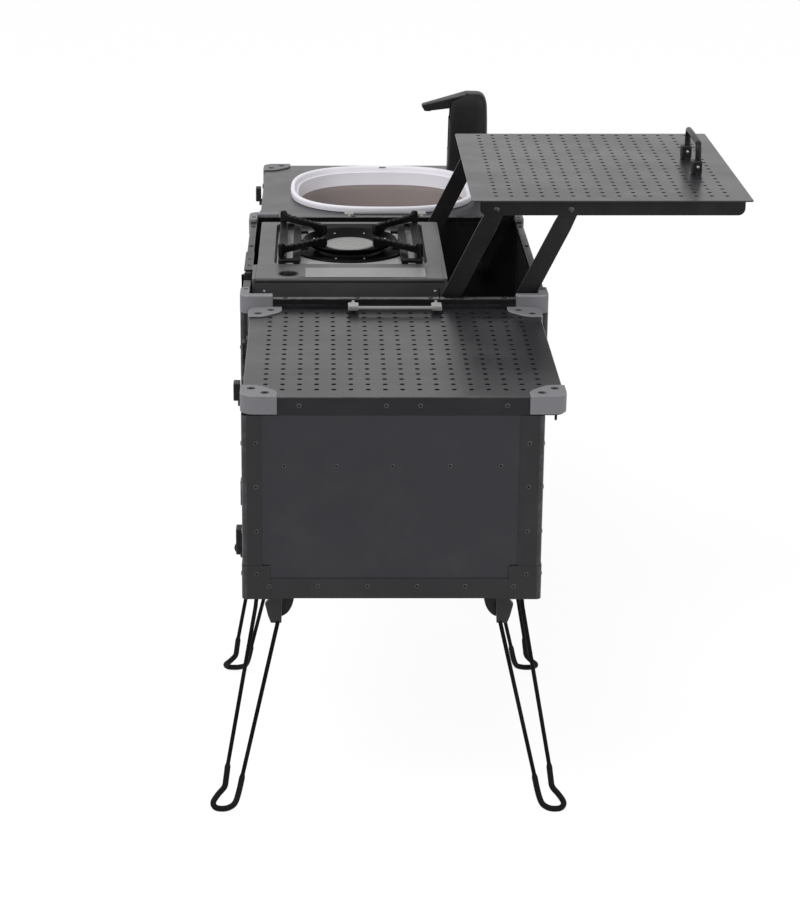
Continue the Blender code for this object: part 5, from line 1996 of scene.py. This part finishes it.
@dataclass
class Stove:
    """The cassette stove: body with its well, canister cover, burner, pan support and gas knob."""

    shop: Workshop
    corner_round: float = 0.012
    edge_round: float = 0.003
    depth: float = 0.070
    well_depth: float = 0.012
    margins: tuple[float, float, float] = (0.031, 0.026, 0.012)
    well_near: float = 0.580
    narrow_front: float = -0.1995
    bay: float = 0.076
    bay_wall: float = 0.010
    foot_inset: float = 0.030
    cover_sheet: float = 0.003
    finger_hole: tuple[float, float] = (-0.153, 0.525)
    disc_radius: float = 0.0380
    burner_radius: float = 0.042
    # X of the two sides of the pan support's frame loop at the rear, and Y of its far end
    loop_xs: tuple[float, float] = (0.0750, 0.1086)
    loop_far: float = 0.104
    loop_bar: float = 0.0120
    # Y of the knob beyond the stove's near face, and how far it is below the caps' seat
    knob_middle: tuple[float, float] = (0.041, 0.014)
    flutes: int = 18
    ports: int = 36
    # Radius and height of the studs in the bowl and on the dish, and their sides
    stud: tuple[float, float, int] = (0.0018, 0.0012, 10)
    bowl_studs: tuple[float, ...] = (-109, -71, 109, 71)
    dish_studs: tuple[float, ...] = (22.5, 67.5, 112.5, 157.5, 202.5, 247.5, 292.5, 337.5)

    def box(self, inset: Point, ys: Point, zs: Point) -> Form:
        """A box given by its distances inside the front and rear, by Y, and by Z from the stove's top."""
        left, right = LAYOUT.stove_front + inset[0], LAYOUT.stove_rear - inset[1]
        return Form.block((left, ys[0], LAYOUT.stove_top + zs[0]), (right, ys[1], LAYOUT.stove_top + zs[1]))

    def body(self) -> None:
        """The pressed body with the burner's well, the canister's bay and four feet."""
        start, end, top, gap = LAYOUT.stove_near, LAYOUT.stove_far, LAYOUT.stove_top, LAYOUT.gap
        body = self.box((0, 0), (start, end), (-self.depth, 0))
        body.cut(Form.block((-0.3, self.well_near - 0.004, -0.3), (self.narrow_front, 1.0, 0.3)))
        body.round_edges(body.uprights(), self.corner_round * 0.5, 6)
        body.round_edges(body.edges_at(top), self.edge_round, 4)
        front, rear, margin = self.margins
        well = self.box((front, rear), (self.well_near, end - margin), (-self.well_depth, PAST))
        well.round_edges(well.uprights(), self.corner_round, 6)
        well.round_edges(well.edges_at(top - self.well_depth), 0.004, 3)
        wall, ledge = self.bay_wall, self.bay_wall / 2
        bay = self.box((wall, wall), (start + wall, start + self.bay - ledge), (-0.060, PAST))
        seat = self.box((ledge, ledge), (start + gap, start + self.bay), (-self.cover_sheet - gap, PAST))
        edge = self.box((ledge, ledge), (start - PAST, start + 0.012), (-0.0063, PAST))
        body.cut(well, bay, seat, edge).soften(0.0006)
        inset = self.foot_inset
        foot = [(0, 0.0006), (0.009, 0.0006), (0.009, -0.004), (0.0082, -0.005), (0, -0.005)]
        for x in (LAYOUT.stove_front + inset, LAYOUT.stove_rear - inset):
            for y in (start + inset, end - inset):
                body.absorb(Form.lathe(foot, Matrix.Translation((x, y, top - self.depth)), 24).paint(1))
        self.shop.deliver("stove_body", body, "stove", [STOVE, RUBBER], "stove_grey", ["stove_body"])

    def well_details(self) -> None:
        """The bright drip tray in the well, its pressed ring, and two screws on the near face."""
        front, rear, margin = self.margins
        floor, clear = LAYOUT.stove_top - self.well_depth, 0.003
        ys = (self.well_near + clear, LAYOUT.stove_far - margin - clear)
        zs = (0.0001 - self.well_depth, 0.0009 - self.well_depth)
        tray = self.box((front + clear, rear + clear), ys, zs)
        tray.round_edges(tray.uprights(), 0.010, 5)
        centre = (LAYOUT.burner_x, LAYOUT.burner_y, floor + 0.0009)
        bowl = [(0.040, 0), (0.040, 0.0006), (0.078, 0.0008), (0.0835, 0.0030), (0.0865, 0.0030), (0.0880, 0)]
        tray.absorb(Form.lathe(bowl, Matrix.Translation(centre), 64).paint(1))
        self.shop.deliver("drip_tray", tray, "stove", [DRIP, ENAMEL], "stove_grey")
        centre = (LAYOUT.burner_x, LAYOUT.burner_y, floor + 0.0016)
        studs = Form().stamp(dome(*self.stud), spots(self.bowl_studs, 0.0655, centre))
        self.shop.deliver("bowl_studs", studs, "stove", STEEL, "enamel_black")
        screws = Form()
        for x in (-0.188, 0.062):
            screws.absorb(dome(0.0020, 0.0009, 12).placed(facing((x, LAYOUT.stove_near, 0.001), (0, -1, 0))))
        self.shop.deliver("stove_screws", screws, "stove", STEEL, "stove_grey")

    def cover(self) -> None:
        """The canister cover with its hinge bead, finger hole and blank plate."""
        top, sheet, inset = LAYOUT.stove_top, self.cover_sheet, self.bay_wall / 2 + LAYOUT.gap
        left, right = LAYOUT.stove_front + inset, LAYOUT.stove_rear - inset
        start, end = LAYOUT.stove_near + 0.003, LAYOUT.stove_near + self.bay - LAYOUT.gap
        cover = Form.block((left, start, top - sheet), (right, end, top))
        cover.weld(Form.rod((left, start, top - sheet), (right, start, top - sheet), sheet, steps=32))
        x, y = self.finger_hole
        hole = [superellipse(0.0135, 0.0125, 2, 32, (x, y), z) for z in span(top, 0.006)]
        cover.cut(Form.stack(hole)).soften(0.0006)
        self.shop.deliver("canister_cover", cover, "canister_lid", STOVE, "stove_grey", ["canister_cover"])
        bowl = [
            (0, -0.0085), (0.0112, -0.0085), (0.0124, -0.0010), (0.0134, 0.0003), (0.0150, 0.0005),
            (0.0158, 0), (0.0146, -0.0010), (0.0128, -0.0020), (0.0118, -0.0095), (0, -0.0095),
        ]
        cup = Form.lathe(bowl, Matrix.Translation((x, y, top)), 32)
        self.shop.deliver("cover_finger_cup", cup, "canister_lid", SCREW, "stove_grey")
        label = Form.block((-0.128, 0.504, top + 0.0001), (0.049, 0.556, top + 0.0006))
        label.round_edges(label.uprights(), 0.003, 4)
        self.shop.deliver("cover_plate", label.soften(0.0002, 1), "canister_lid", TRAY, "stove_grey")

    def burner(self) -> None:
        """The ported ring and the brushed disc on it."""
        r, high = self.burner_radius, 0.0092
        profile = [
            (0, 0), (r * 0.82, 0), (r * 0.86, 0.0015), (r, 0.0028), (r, 0.0070), (r * 0.975, 0.0082),
            (r * 0.90, 0.0082), (r * 0.88, 0.0070), (0, 0.0070),
        ]
        ring = Form.lathe(profile, Matrix(), 72)
        port = Form.block((-0.0016, -0.0007, -0.0012), (0.003, 0.0007, 0.0012))
        ring.cut(Form().stamp(port, spokes(self.ports, r, 0.0050)))
        disc = [(0, high)]
        for groove in (0.010, 0.022):
            low, bottom = high - 0.0004, groove + 0.0005
            disc += [(groove, high), (bottom, low), (bottom + 0.001, low), (groove + 0.002, high)]
        disc += [(0.0330, high), (0.0337, 0.0100), (0.0365, 0.0098)]
        disc += [(self.disc_radius, 0.0086), (self.disc_radius, 0.0066), (0, 0.0066)]
        ring.absorb(Form.lathe(disc, Matrix(), 64).paint(1))
        ring.moved(LAYOUT.burner_x, LAYOUT.burner_y, LAYOUT.stove_top - self.well_depth + LAYOUT.gap)
        self.shop.deliver("burner", ring, "stove", [ENAMEL, DISC], "enamel_black", ["burner"])

    def side_frame(self, side: int, low: float) -> Form:
        """One frame loop of the pan support, with its feet and the ties that hold it to the dish.

        Args:
            side: Sign of the X side of the burner that it stands on.
            low: Height of its underside.

        Returns:
            The frame, about the burner's axis.
        """
        left, right = sorted(side * x for x in self.loop_xs)
        near, far, bar = self.well_near + 0.003 - LAYOUT.burner_y, self.loop_far, self.loop_bar
        frame_form = Form()
        for x in (left + 0.001, right - bar + 0.001):
            foot_low, foot_high = low - self.well_depth + 0.0012, low + 0.003
            start, end = (x, near + 0.0005, foot_low), (x + bar - 0.002, near + 0.0045, foot_high)
            frame_form.absorb(Form.block(start, end, 0.0010, 2))
        outer = [(left, near), (right, near), (right, far), (left, far)]
        in_left, in_right, in_near, in_far = left + bar, right - bar, near + bar, far - 0.010
        inner = [(in_left, in_near), (in_right, in_near), (in_right, in_far), (in_left, in_far)]
        loop = Form.plate(rounded_outline(outer, [0.008] * 4, 5), 0.0050).moved(0, 0, low)
        hole = Form.plate(rounded_outline(inner, [0.004] * 4, 4), 0.02).moved(0, 0, low - 0.01)
        frame_form.absorb(loop.cut(hole).soften(0.0015, 3, 1.0))
        for y in span(0, 0.050):
            start, end = (side * 0.064, y - 0.004, low + 0.0003), (side * 0.080, y + 0.004, low + 0.0045)
            frame_form.absorb(Form.block(start, end, 0.0012, 2))
        return frame_form

    def support(self) -> None:
        """The pan support: a dish ring, two frame loops and four scalloped blades."""
        low = LAYOUT.stove_top + LAYOUT.gap
        dish = [
            (0.049, -0.0070), (0.054, -0.0078), (0.070, 0.0010), (0.0722, 0.0040), (0.0712, 0.0052),
            (0.0690, 0.0046), (0.0530, -0.0052),
        ]
        support = Form.lathe(dish, Matrix.Translation((0, 0, low)), 72)
        support.absorb(self.side_frame(-1, low), self.side_frame(1, low))
        for quarter in range(4):
            turn = Matrix.Rotation(math.pi / 4 + quarter * math.pi / 2, 4, "Z")
            blade = Form.plate(self.blade(), 0.0070, FACING_Y).moved(0, 0.0035, 0).soften(0.0016, 3, 0.9)
            support.absorb(blade.placed(Matrix.Translation((0, 0, low)) @ turn))
        support.moved(LAYOUT.burner_x, LAYOUT.burner_y, 0)
        self.shop.deliver("pan_support", support, "grate", ENAMEL, "enamel_black", ["pan_support"])
        centre = (LAYOUT.burner_x, LAYOUT.burner_y, low - 0.0012)
        studs = Form().stamp(dome(*self.stud), spots(self.dish_studs, 0.060, centre))
        self.shop.deliver("dish_studs", studs, "grate", STEEL, "enamel_black")

    def blade(self) -> Outline:
        """One blade in its own plane: distance from the burner, and height.

        Returns:
            The outline.
        """
        well = 0.0005 - self.well_depth
        tip = [(0.1515, well), (0.1515, 0.0200), (0.1500, 0.0237), (0.1440, 0.0240), (0.1400, 0.0200)]
        scallops = []
        for i in range(7):
            r, sunk = 0.1340 - i * 0.0110, i * 0.0002
            scallops += [(r, 0.0194 - sunk), (r - 0.0055, 0.0176 - sunk)]
        root = [(0.0560, 0.0178), (0.0530, 0.0165), (0.0515, 0.0060), (0.0560, 0.0), (0.0680, 0.0010)]
        under = [(0.0820, 0.0082), (0.1400, 0.0082), (0.1435, 0.0060)]
        return [(0.1435, well), *tip, *scallops, *root, *under]

    def knob(self) -> None:
        """The gas knob with a fluted rim and a grip bar, its shaft, and a plain pointer mark."""
        face = -LAYOUT.rim_inner
        y, z = LAYOUT.stove_near + self.knob_middle[0], LAYOUT.cap_seat - self.knob_middle[1]
        place = facing((face, y, z), (-1, 0, 0))
        profile = [(0, 0), (0.0155, 0), (0.0165, 0.0012), (0.0160, 0.0098), (0.0146, 0.0112), (0, 0.0112)]
        knob = Form.lathe(profile, Matrix(), 48)
        flute = Form.rod((0, 0, -0.005), (0, 0, 0.02), 0.0010, steps=8)
        knob.cut(Form().stamp(flute, spokes(self.flutes, 0.0168, 0))).soften(0.0002, 1)
        grip = Form.block((-0.0135, -0.003, 0.0105), (0.0135, 0.003, 0.0148), 0.0009, 3)
        mark = Form.block((0.0060, -0.0006, 0.0146), (0.0125, 0.0006, 0.0150)).paint(1)
        shaft = Form.rod((0, 0, 0.0005), (0, 0, face - LAYOUT.stove_front - LAYOUT.gap), 0.006)
        knob.absorb(grip, mark, shaft)
        name = "stove_knob"
        self.shop.deliver(name, knob.placed(place), "knob", [ENAMEL, CAP], "enamel_black", [name])

    def build(self) -> None:
        """Makes every piece of the stove."""
        self.body()
        self.well_details()
        self.cover()
        self.burner()
        self.support()
        self.knob()


# Basin and faucet


@dataclass
class WashBasin:
    """The wash basin that hangs by its rim in the far worktop."""

    shop: Workshop
    half_x: float = 0.157
    half_y: float = 0.159
    middle: float = LAYOUT.basin_y + 0.007
    power: float = 2.6
    rim_width: float = 0.013
    rim_height: float = 0.0105
    wall: float = 0.003
    depth: float = 0.108
    draft: float = 0.012
    floor_round: float = 0.012
    waist: float = -0.0215
    lip: float = 0.0146
    folds: int = 4
    overflow_ends: tuple[float, float] = (-0.0024, 0.0096)
    # How the floor curves up into the wall, and how the rolled rim rises and falls
    curve: tuple[tuple[float, float], ...] = ((0.75, 0.06), (0.35, 0.30), (0.08, 0.70), (0.0, 1.0))
    roll: tuple[tuple[float, float], ...] = (
        (0.0, 0.62), (0.0005, 0.84), (0.0018, 0.97), (0.0036, 1.0), (0.0056, 0.97), (0.0072, 0.86),
        (0.0082, 0.62),
    )
    steps: int = 96

    def ring(self, inset: float, z: float) -> list[Vector]:
        """One ring, moved in from the rim's outer edge."""
        half_x, half_y = self.half_x - inset, self.half_y - inset
        return superellipse(half_x, half_y, self.power, self.steps, (0, self.middle), z)

    def opening(self) -> Form:
        """What the worktop loses so that the basin can hang in it."""
        inset = self.rim_width - LAYOUT.gap
        return Form.stack([self.ring(inset, -0.05), self.ring(inset, 0.05)])

    def outside(self) -> list[list[Vector]]:
        """The rings from the middle of the underside up to the rim's outer edge.

        Returns:
            The rings in order.
        """
        gap, r, floor = LAYOUT.gap, self.floor_round, -self.depth
        base = self.rim_width + self.wall + self.draft
        rings = [self.ring(base + r * 1.3, floor)]
        rings += [self.ring(base + r * share_in, floor + r * share_up) for share_in, share_up in self.curve]
        neck = ((self.rim_width + 0.0014, self.waist), (self.rim_width, -0.0015), (self.rim_width, gap))
        rings += [self.ring(*spot) for spot in (*neck, (0.0006, gap), (0.0, gap * 3))]
        return rings

    def inside(self) -> list[list[Vector]]:
        """The rings from the rolled rim over the soft folds down to the middle of the floor.

        Returns:
            The rings in order.
        """
        rings = [self.ring(inset, self.rim_height * share) for inset, share in self.roll]
        rings += [self.ring(0.0098, 0.0), self.ring(0.0130, self.waist + 0.0004)]
        rings.append(self.ring(self.lip, self.waist))
        r, floor, base = self.floor_round, -self.depth, self.inner_base()
        for i in range(self.folds):
            share = (i + 0.5) / self.folds
            at = self.lip + (base - self.lip) * share
            z = self.waist + (floor + r - self.waist) * share
            rings += [self.ring(at - 0.0010, z + 0.0050), self.ring(at + 0.0012, z)]
        for share_in, share_up in reversed(self.curve):
            rings.append(self.ring(base + r * share_in, floor + self.wall + r * share_up * 0.8))
        rings.append(self.ring(base + r * 1.3, floor + self.wall))
        return rings

    def inner_base(self) -> float:
        """How far the inner wall has moved in from the rim where it meets the floor."""
        return self.rim_width + self.wall + self.draft + self.wall

    def build(self) -> None:
        """Makes the basin with its soft grey folds, its floor mat and the overflow slot."""
        basin = Form.stack([*self.outside(), *self.inside()])
        for face in basin.bm.faces:
            face.material_index = int(face.calc_center_median().z < self.waist + 0.0001)
        finishes = [BASIN, BASIN_FLOOR]
        self.shop.deliver("basin", basin, "wash_basin", finishes, "basin_white", ["basin"], smooth_below=0.9)

        floor, top = self.wall - self.depth, 0.0022
        inset = self.inner_base() + self.floor_round * 0.9
        mat = Form.stack([self.ring(inset, floor + z) for z in (0.0008, top)])
        mat.round_edges(mat.edges_at(floor + top), 0.0008, 2)
        self.shop.deliver("basin_mat", mat, "wash_basin", BASIN_FLOOR, "basin_white")
        self.overflow()

    def overflow(self) -> None:
        """The overflow slot high on the far wall, with its raised lip."""
        y = self.middle + self.half_y
        (left, right), past = self.overflow_ends, 0.0010
        slot = Form.block((left, y - 0.0082, 0.0066), (right, y - 0.0066, 0.0092), 0.0006, 3)
        low, high = (left - past, y - 0.0088, 0.0054), (right + past, y - 0.0072, 0.0068)
        slot.absorb(Form.block(low, high, 0.0004, 2).paint(1))
        self.shop.deliver("basin_overflow", slot, "wash_basin", [SLOT, BASIN], "basin_white")


@dataclass
class Faucet:
    """The pump faucet: a column with a domed head, slotted for the spout that folds down into it."""

    shop: Workshop
    width: float = 0.071
    depth: float = 0.056
    height: float = 0.1448
    power: float = 4.0
    centre: tuple[float, float] = (0.1529, 1.284)
    pivot: tuple[float, float] = (0.1484, 0.131)
    spout_width: float = 0.036
    spout_length: float = 0.0785
    drop_angle: float = math.radians(10.0)
    root_radius: float = 0.0122
    play: float = 0.0004
    pin_radius: float = 0.0025
    pin_reach: float = 0.0044
    tip: float = 0.0058
    nozzle_inset: float = 0.0125
    seal: tuple[float, float] = (0.0066, 0.0074)
    steps: int = 72

    def ring(self, grow: float, squash: float, z: float) -> list[Vector]:
        """One ring of the column, this much wider than its plain size, and squash times that much deeper."""
        half_x, half_y = self.width / 2 + grow, self.depth / 2 + grow * squash
        return superellipse(half_x, half_y, self.power, self.steps, self.centre, z)

    def slot(self) -> Form:
        """What the column loses: the spout's slot, a round seat at its pivot, and the head's open corner.

        Returns:
            The cutter.
        """
        x, z = self.pivot
        middle, half = self.centre[1], self.spout_width / 2 + self.play
        clear = self.root_radius + self.play
        outside = self.centre[0] - 0.1
        start, end = span(middle, half - 0.0030)
        slot = Form.block((outside, start, self.height * 0.30), (x + clear, end, z - 0.030))
        start, end = span(middle, half)
        slot.weld(
            Form.block((outside, start, z - 0.032), (x + clear, end, z)),
            Form.block((outside, start, z - 0.001), (x, end, 0.3)),
            Form.rod((x, start, z), (x, end, z), clear, steps=48),
        )
        left = self.centre[0] - self.width / 2
        front, rear = left - 0.03, left + 0.0310
        corner = [(front, 0.1262), (left, 0.1262), (rear, 0.1428), (rear, 0.2), (front, 0.2)]
        return slot.weld(Form.plate(corner, self.depth * 2, FACING_Y).moved(0, middle + self.depth, 0))

    def column(self) -> None:
        """The column, narrower toward its head, and the seal round its foot."""
        top = self.height
        # How much wider than the plain column, and height
        rows = [
            (0.0015, LAYOUT.gap), (0.0020, 0.0012), (0.0020, 0.0034), (0.0010, 0.0046), (0.0, 0.0060),
            (-0.0006, 0.050), (-0.0014, 0.100), (-0.0022, top - 0.024), (-0.0034, top - 0.015),
            (-0.0056, top - 0.0085), (-0.0088, top - 0.0038), (-0.0135, top - 0.0012), (-0.0205, top),
        ]
        column = Form.stack([self.ring(grow, 0.8, z) for grow, z in rows])
        x, z = self.pivot
        start, end = span(self.centre[1], self.spout_width / 2 + self.pin_reach + LAYOUT.gap)
        bore = Form.rod((x, start, z), (x, end, z), self.pin_radius + LAYOUT.gap)
        column.cut(self.slot(), bore).soften(0.0005, 2, 0.8)
        name = "faucet_column"
        self.shop.deliver(name, column, BASE, FAUCET, "faucet_black", [name], smooth_below=0.75)
        seal = Form.stack([self.ring(0.0004, 1.0, z) for z in self.seal])
        self.shop.deliver("faucet_seal", seal, BASE, RUBBER, "faucet_black")

    def spout(self) -> None:
        """The spout with its rounded root, outlet and pivot pin."""
        length, tip, width = self.spout_length, self.tip, self.spout_width
        points = arc((0, 0), self.root_radius, -100, 95, 16)
        points += [(-0.020, 0.0104), (0.004 - length, tip), (0.0006 - length, tip - 0.0014)]
        points += [(0.0044 - length, -tip - 0.0003), (0.0085 - length, -tip - 0.0010), (-0.030, -0.0080)]
        spout = Form.plate(points, width, FACING_Y).moved(0, width / 2, 0)
        for vert in spout.bm.verts:
            along = min(1.0, max(0.0, -vert.co.x / length))
            vert.co.y *= 1.0 - 0.50 * along
        spout.soften(0.0018, 3, 0.7)
        spout.placed(Matrix.Rotation(-self.drop_angle, 4, "Y"))
        reach = length - self.nozzle_inset
        x, z = -math.cos(self.drop_angle) * reach, -math.sin(self.drop_angle) * reach
        nozzle = [
            (0, 0), (0.0055, 0), (0.0055, -0.0072), (0.0050, -0.0082), (0.0042, -0.0082), (0.0038, -0.0068),
            (0, -0.0068),
        ]
        spout.absorb(Form.lathe(nozzle, Matrix.Translation((x, 0, z)), 28).paint(1))
        reach = width / 2 + self.pin_reach
        spout.absorb(Form.rod((0, -reach, 0), (0, reach, 0), self.pin_radius, steps=20))
        spout.moved(self.pivot[0], self.centre[1], self.pivot[1])
        self.shop.deliver("faucet_spout", spout, "spout", [FAUCET, RUBBER], "faucet_black", ["faucet_spout"])

    def build(self) -> None:
        """Makes the faucet."""
        self.column()
        self.spout()


# Studio


@dataclass
class Studio:
    """A pale floor, soft lamps, a white surround and the camera of the photograph."""

    shop: Workshop
    ambient: float = 0.62
    grey: float = 0.90
    glow: float = 1.06
    glow_share: float = 0.86
    lens: float = 96.116
    sensor: float = 36.0
    tilt: float = math.radians(72.19)
    shift: tuple[float, float] = (0.08624, -0.07164)
    eye: tuple[float, float, float] = (-0.10285, -2.89067, 0.94435)

    def background_rays(self, sheet: NodeSheet) -> bpy.types.NodeSocket:
        """1 for rays that look at the background, through the camera or a reflection or glass.

        Args:
            sheet: Adds nodes to the tree in use.

        Returns:
            The socket.
        """
        path = sheet.add("ShaderNodeLightPath")
        seen = sheet.maths("ADD", path.outputs["Is Camera Ray"], path.outputs["Is Glossy Ray"])
        return sheet.maths("ADD", seen, path.outputs["Is Transmission Ray"], clamp=True)

    def surround(self) -> None:
        """A white world that lights the object at an even level."""
        world = bpy.data.worlds.new("studio")
        bpy.context.scene.world = world
        world.use_nodes = True
        tree = world.node_tree
        tree.nodes.clear()
        sheet = NodeSheet(tree)
        light = sheet.add("ShaderNodeBackground")
        light.inputs["Color"].default_value = (0.97, 0.98, 1.0, 1)
        light.inputs["Strength"].default_value = self.ambient
        white = sheet.add("ShaderNodeBackground")
        white.inputs["Color"].default_value = (1, 1, 1, 1)
        mix = sheet.add("ShaderNodeMixShader")
        sheet.feed(mix.inputs[0], self.background_rays(sheet))
        tree.links.new(light.outputs[0], mix.inputs[1])
        tree.links.new(white.outputs[0], mix.inputs[2])
        tree.links.new(mix.outputs[0], sheet.add("ShaderNodeOutputWorld").inputs["Surface"])

    def floor(self) -> None:
        """A plain pale floor that keeps the object's shadow."""
        bm = bmesh.new()
        bmesh.ops.create_grid(bm, x_segments=1, y_segments=1, size=40)
        mesh = bpy.data.meshes.new("floor")
        bm.to_mesh(mesh)
        bm.free()
        floor = bpy.data.objects.new("floor", mesh)
        bpy.context.scene.collection.objects.link(floor)
        made = bpy.data.materials.new("pale_floor")
        made.use_nodes = True
        tree = made.node_tree
        sheet = NodeSheet(tree)
        shader = tree.nodes["Principled BSDF"]
        shader.inputs["Base Color"].default_value = (self.grey, self.grey, self.grey, 1)
        shader.inputs["Roughness"].default_value = 0.9
        shader.inputs["Specular IOR Level"].default_value = 0.0
        glow = sheet.add("ShaderNodeEmission")
        glow.inputs["Color"].default_value = (1, 1, 1, 1)
        glow.inputs["Strength"].default_value = self.glow
        mix = sheet.add("ShaderNodeMixShader")
        sheet.feed(mix.inputs[0], sheet.maths("MULTIPLY", self.background_rays(sheet), self.glow_share))
        tree.links.new(shader.outputs[0], mix.inputs[1])
        tree.links.new(glow.outputs[0], mix.inputs[2])
        tree.links.new(mix.outputs[0], tree.nodes["Material Output"].inputs["Surface"])
        mesh.materials.append(made)

    def lamp(self, name: str, where: Point, aim: Point, size: float, power: float) -> None:
        """One soft square lamp.

        Args:
            name: Its name.
            where: Its place.
            aim: What it points at.
            size: Its side.
            power: Its power in watts.
        """
        data = bpy.data.lights.new(name, "AREA")
        data.shape = "SQUARE"
        data.size = size
        data.energy = power
        lamp = bpy.data.objects.new(name, data)
        lamp.location = where
        lamp.rotation_euler = (Vector(aim) - Vector(where)).to_track_quat("-Z", "Y").to_euler()
        bpy.context.scene.collection.objects.link(lamp)

    def camera(self) -> None:
        """The photograph's view, fitted to the two grids of holes."""
        data = bpy.data.cameras.new("camera")
        data.lens = self.lens
        data.sensor_width = self.sensor
        data.sensor_fit = "AUTO"
        data.shift_x, data.shift_y = self.shift
        camera = bpy.data.objects.new("camera", data)
        camera.location = Vector(self.eye) + self.shop.shift
        camera.rotation_euler = (self.tilt, 0, 0)
        bpy.context.scene.collection.objects.link(camera)
        bpy.context.scene.camera = camera

    def build(self) -> None:
        """Sets up the studio."""
        bpy.context.scene.view_settings.view_transform = "Standard"
        self.surround()
        self.floor()
        middle = (0, 0, 0.5)
        self.lamp("key", (-1.6, -1.0, 3.2), middle, size=2.4, power=70.0)
        self.lamp("fill", (2.2, -2.4, 1.8), middle, size=2.0, power=30.0)
        self.camera()


def main() -> None:
    """Builds the assemblies in order, then the studio."""
    logging.basicConfig(level=logging.INFO, format="%(message)s", stream=sys.stdout)
    shop = Workshop()
    basin = WashBasin(shop)
    near = Cabinet(shop, "near", LAYOUT.near_length, 0.0, 1)
    far = Cabinet(shop, "far", LAYOUT.far_length, LAYOUT.far_end, -1)
    near.build([near.perforation()])
    far.build([basin.opening()])
    Tub(shop).build()
    Shelf(shop).build()
    Stove(shop).build()
    basin.build()
    Faucet(shop).build()
    Studio(shop).build()


if __name__ == "__main__":
    main()
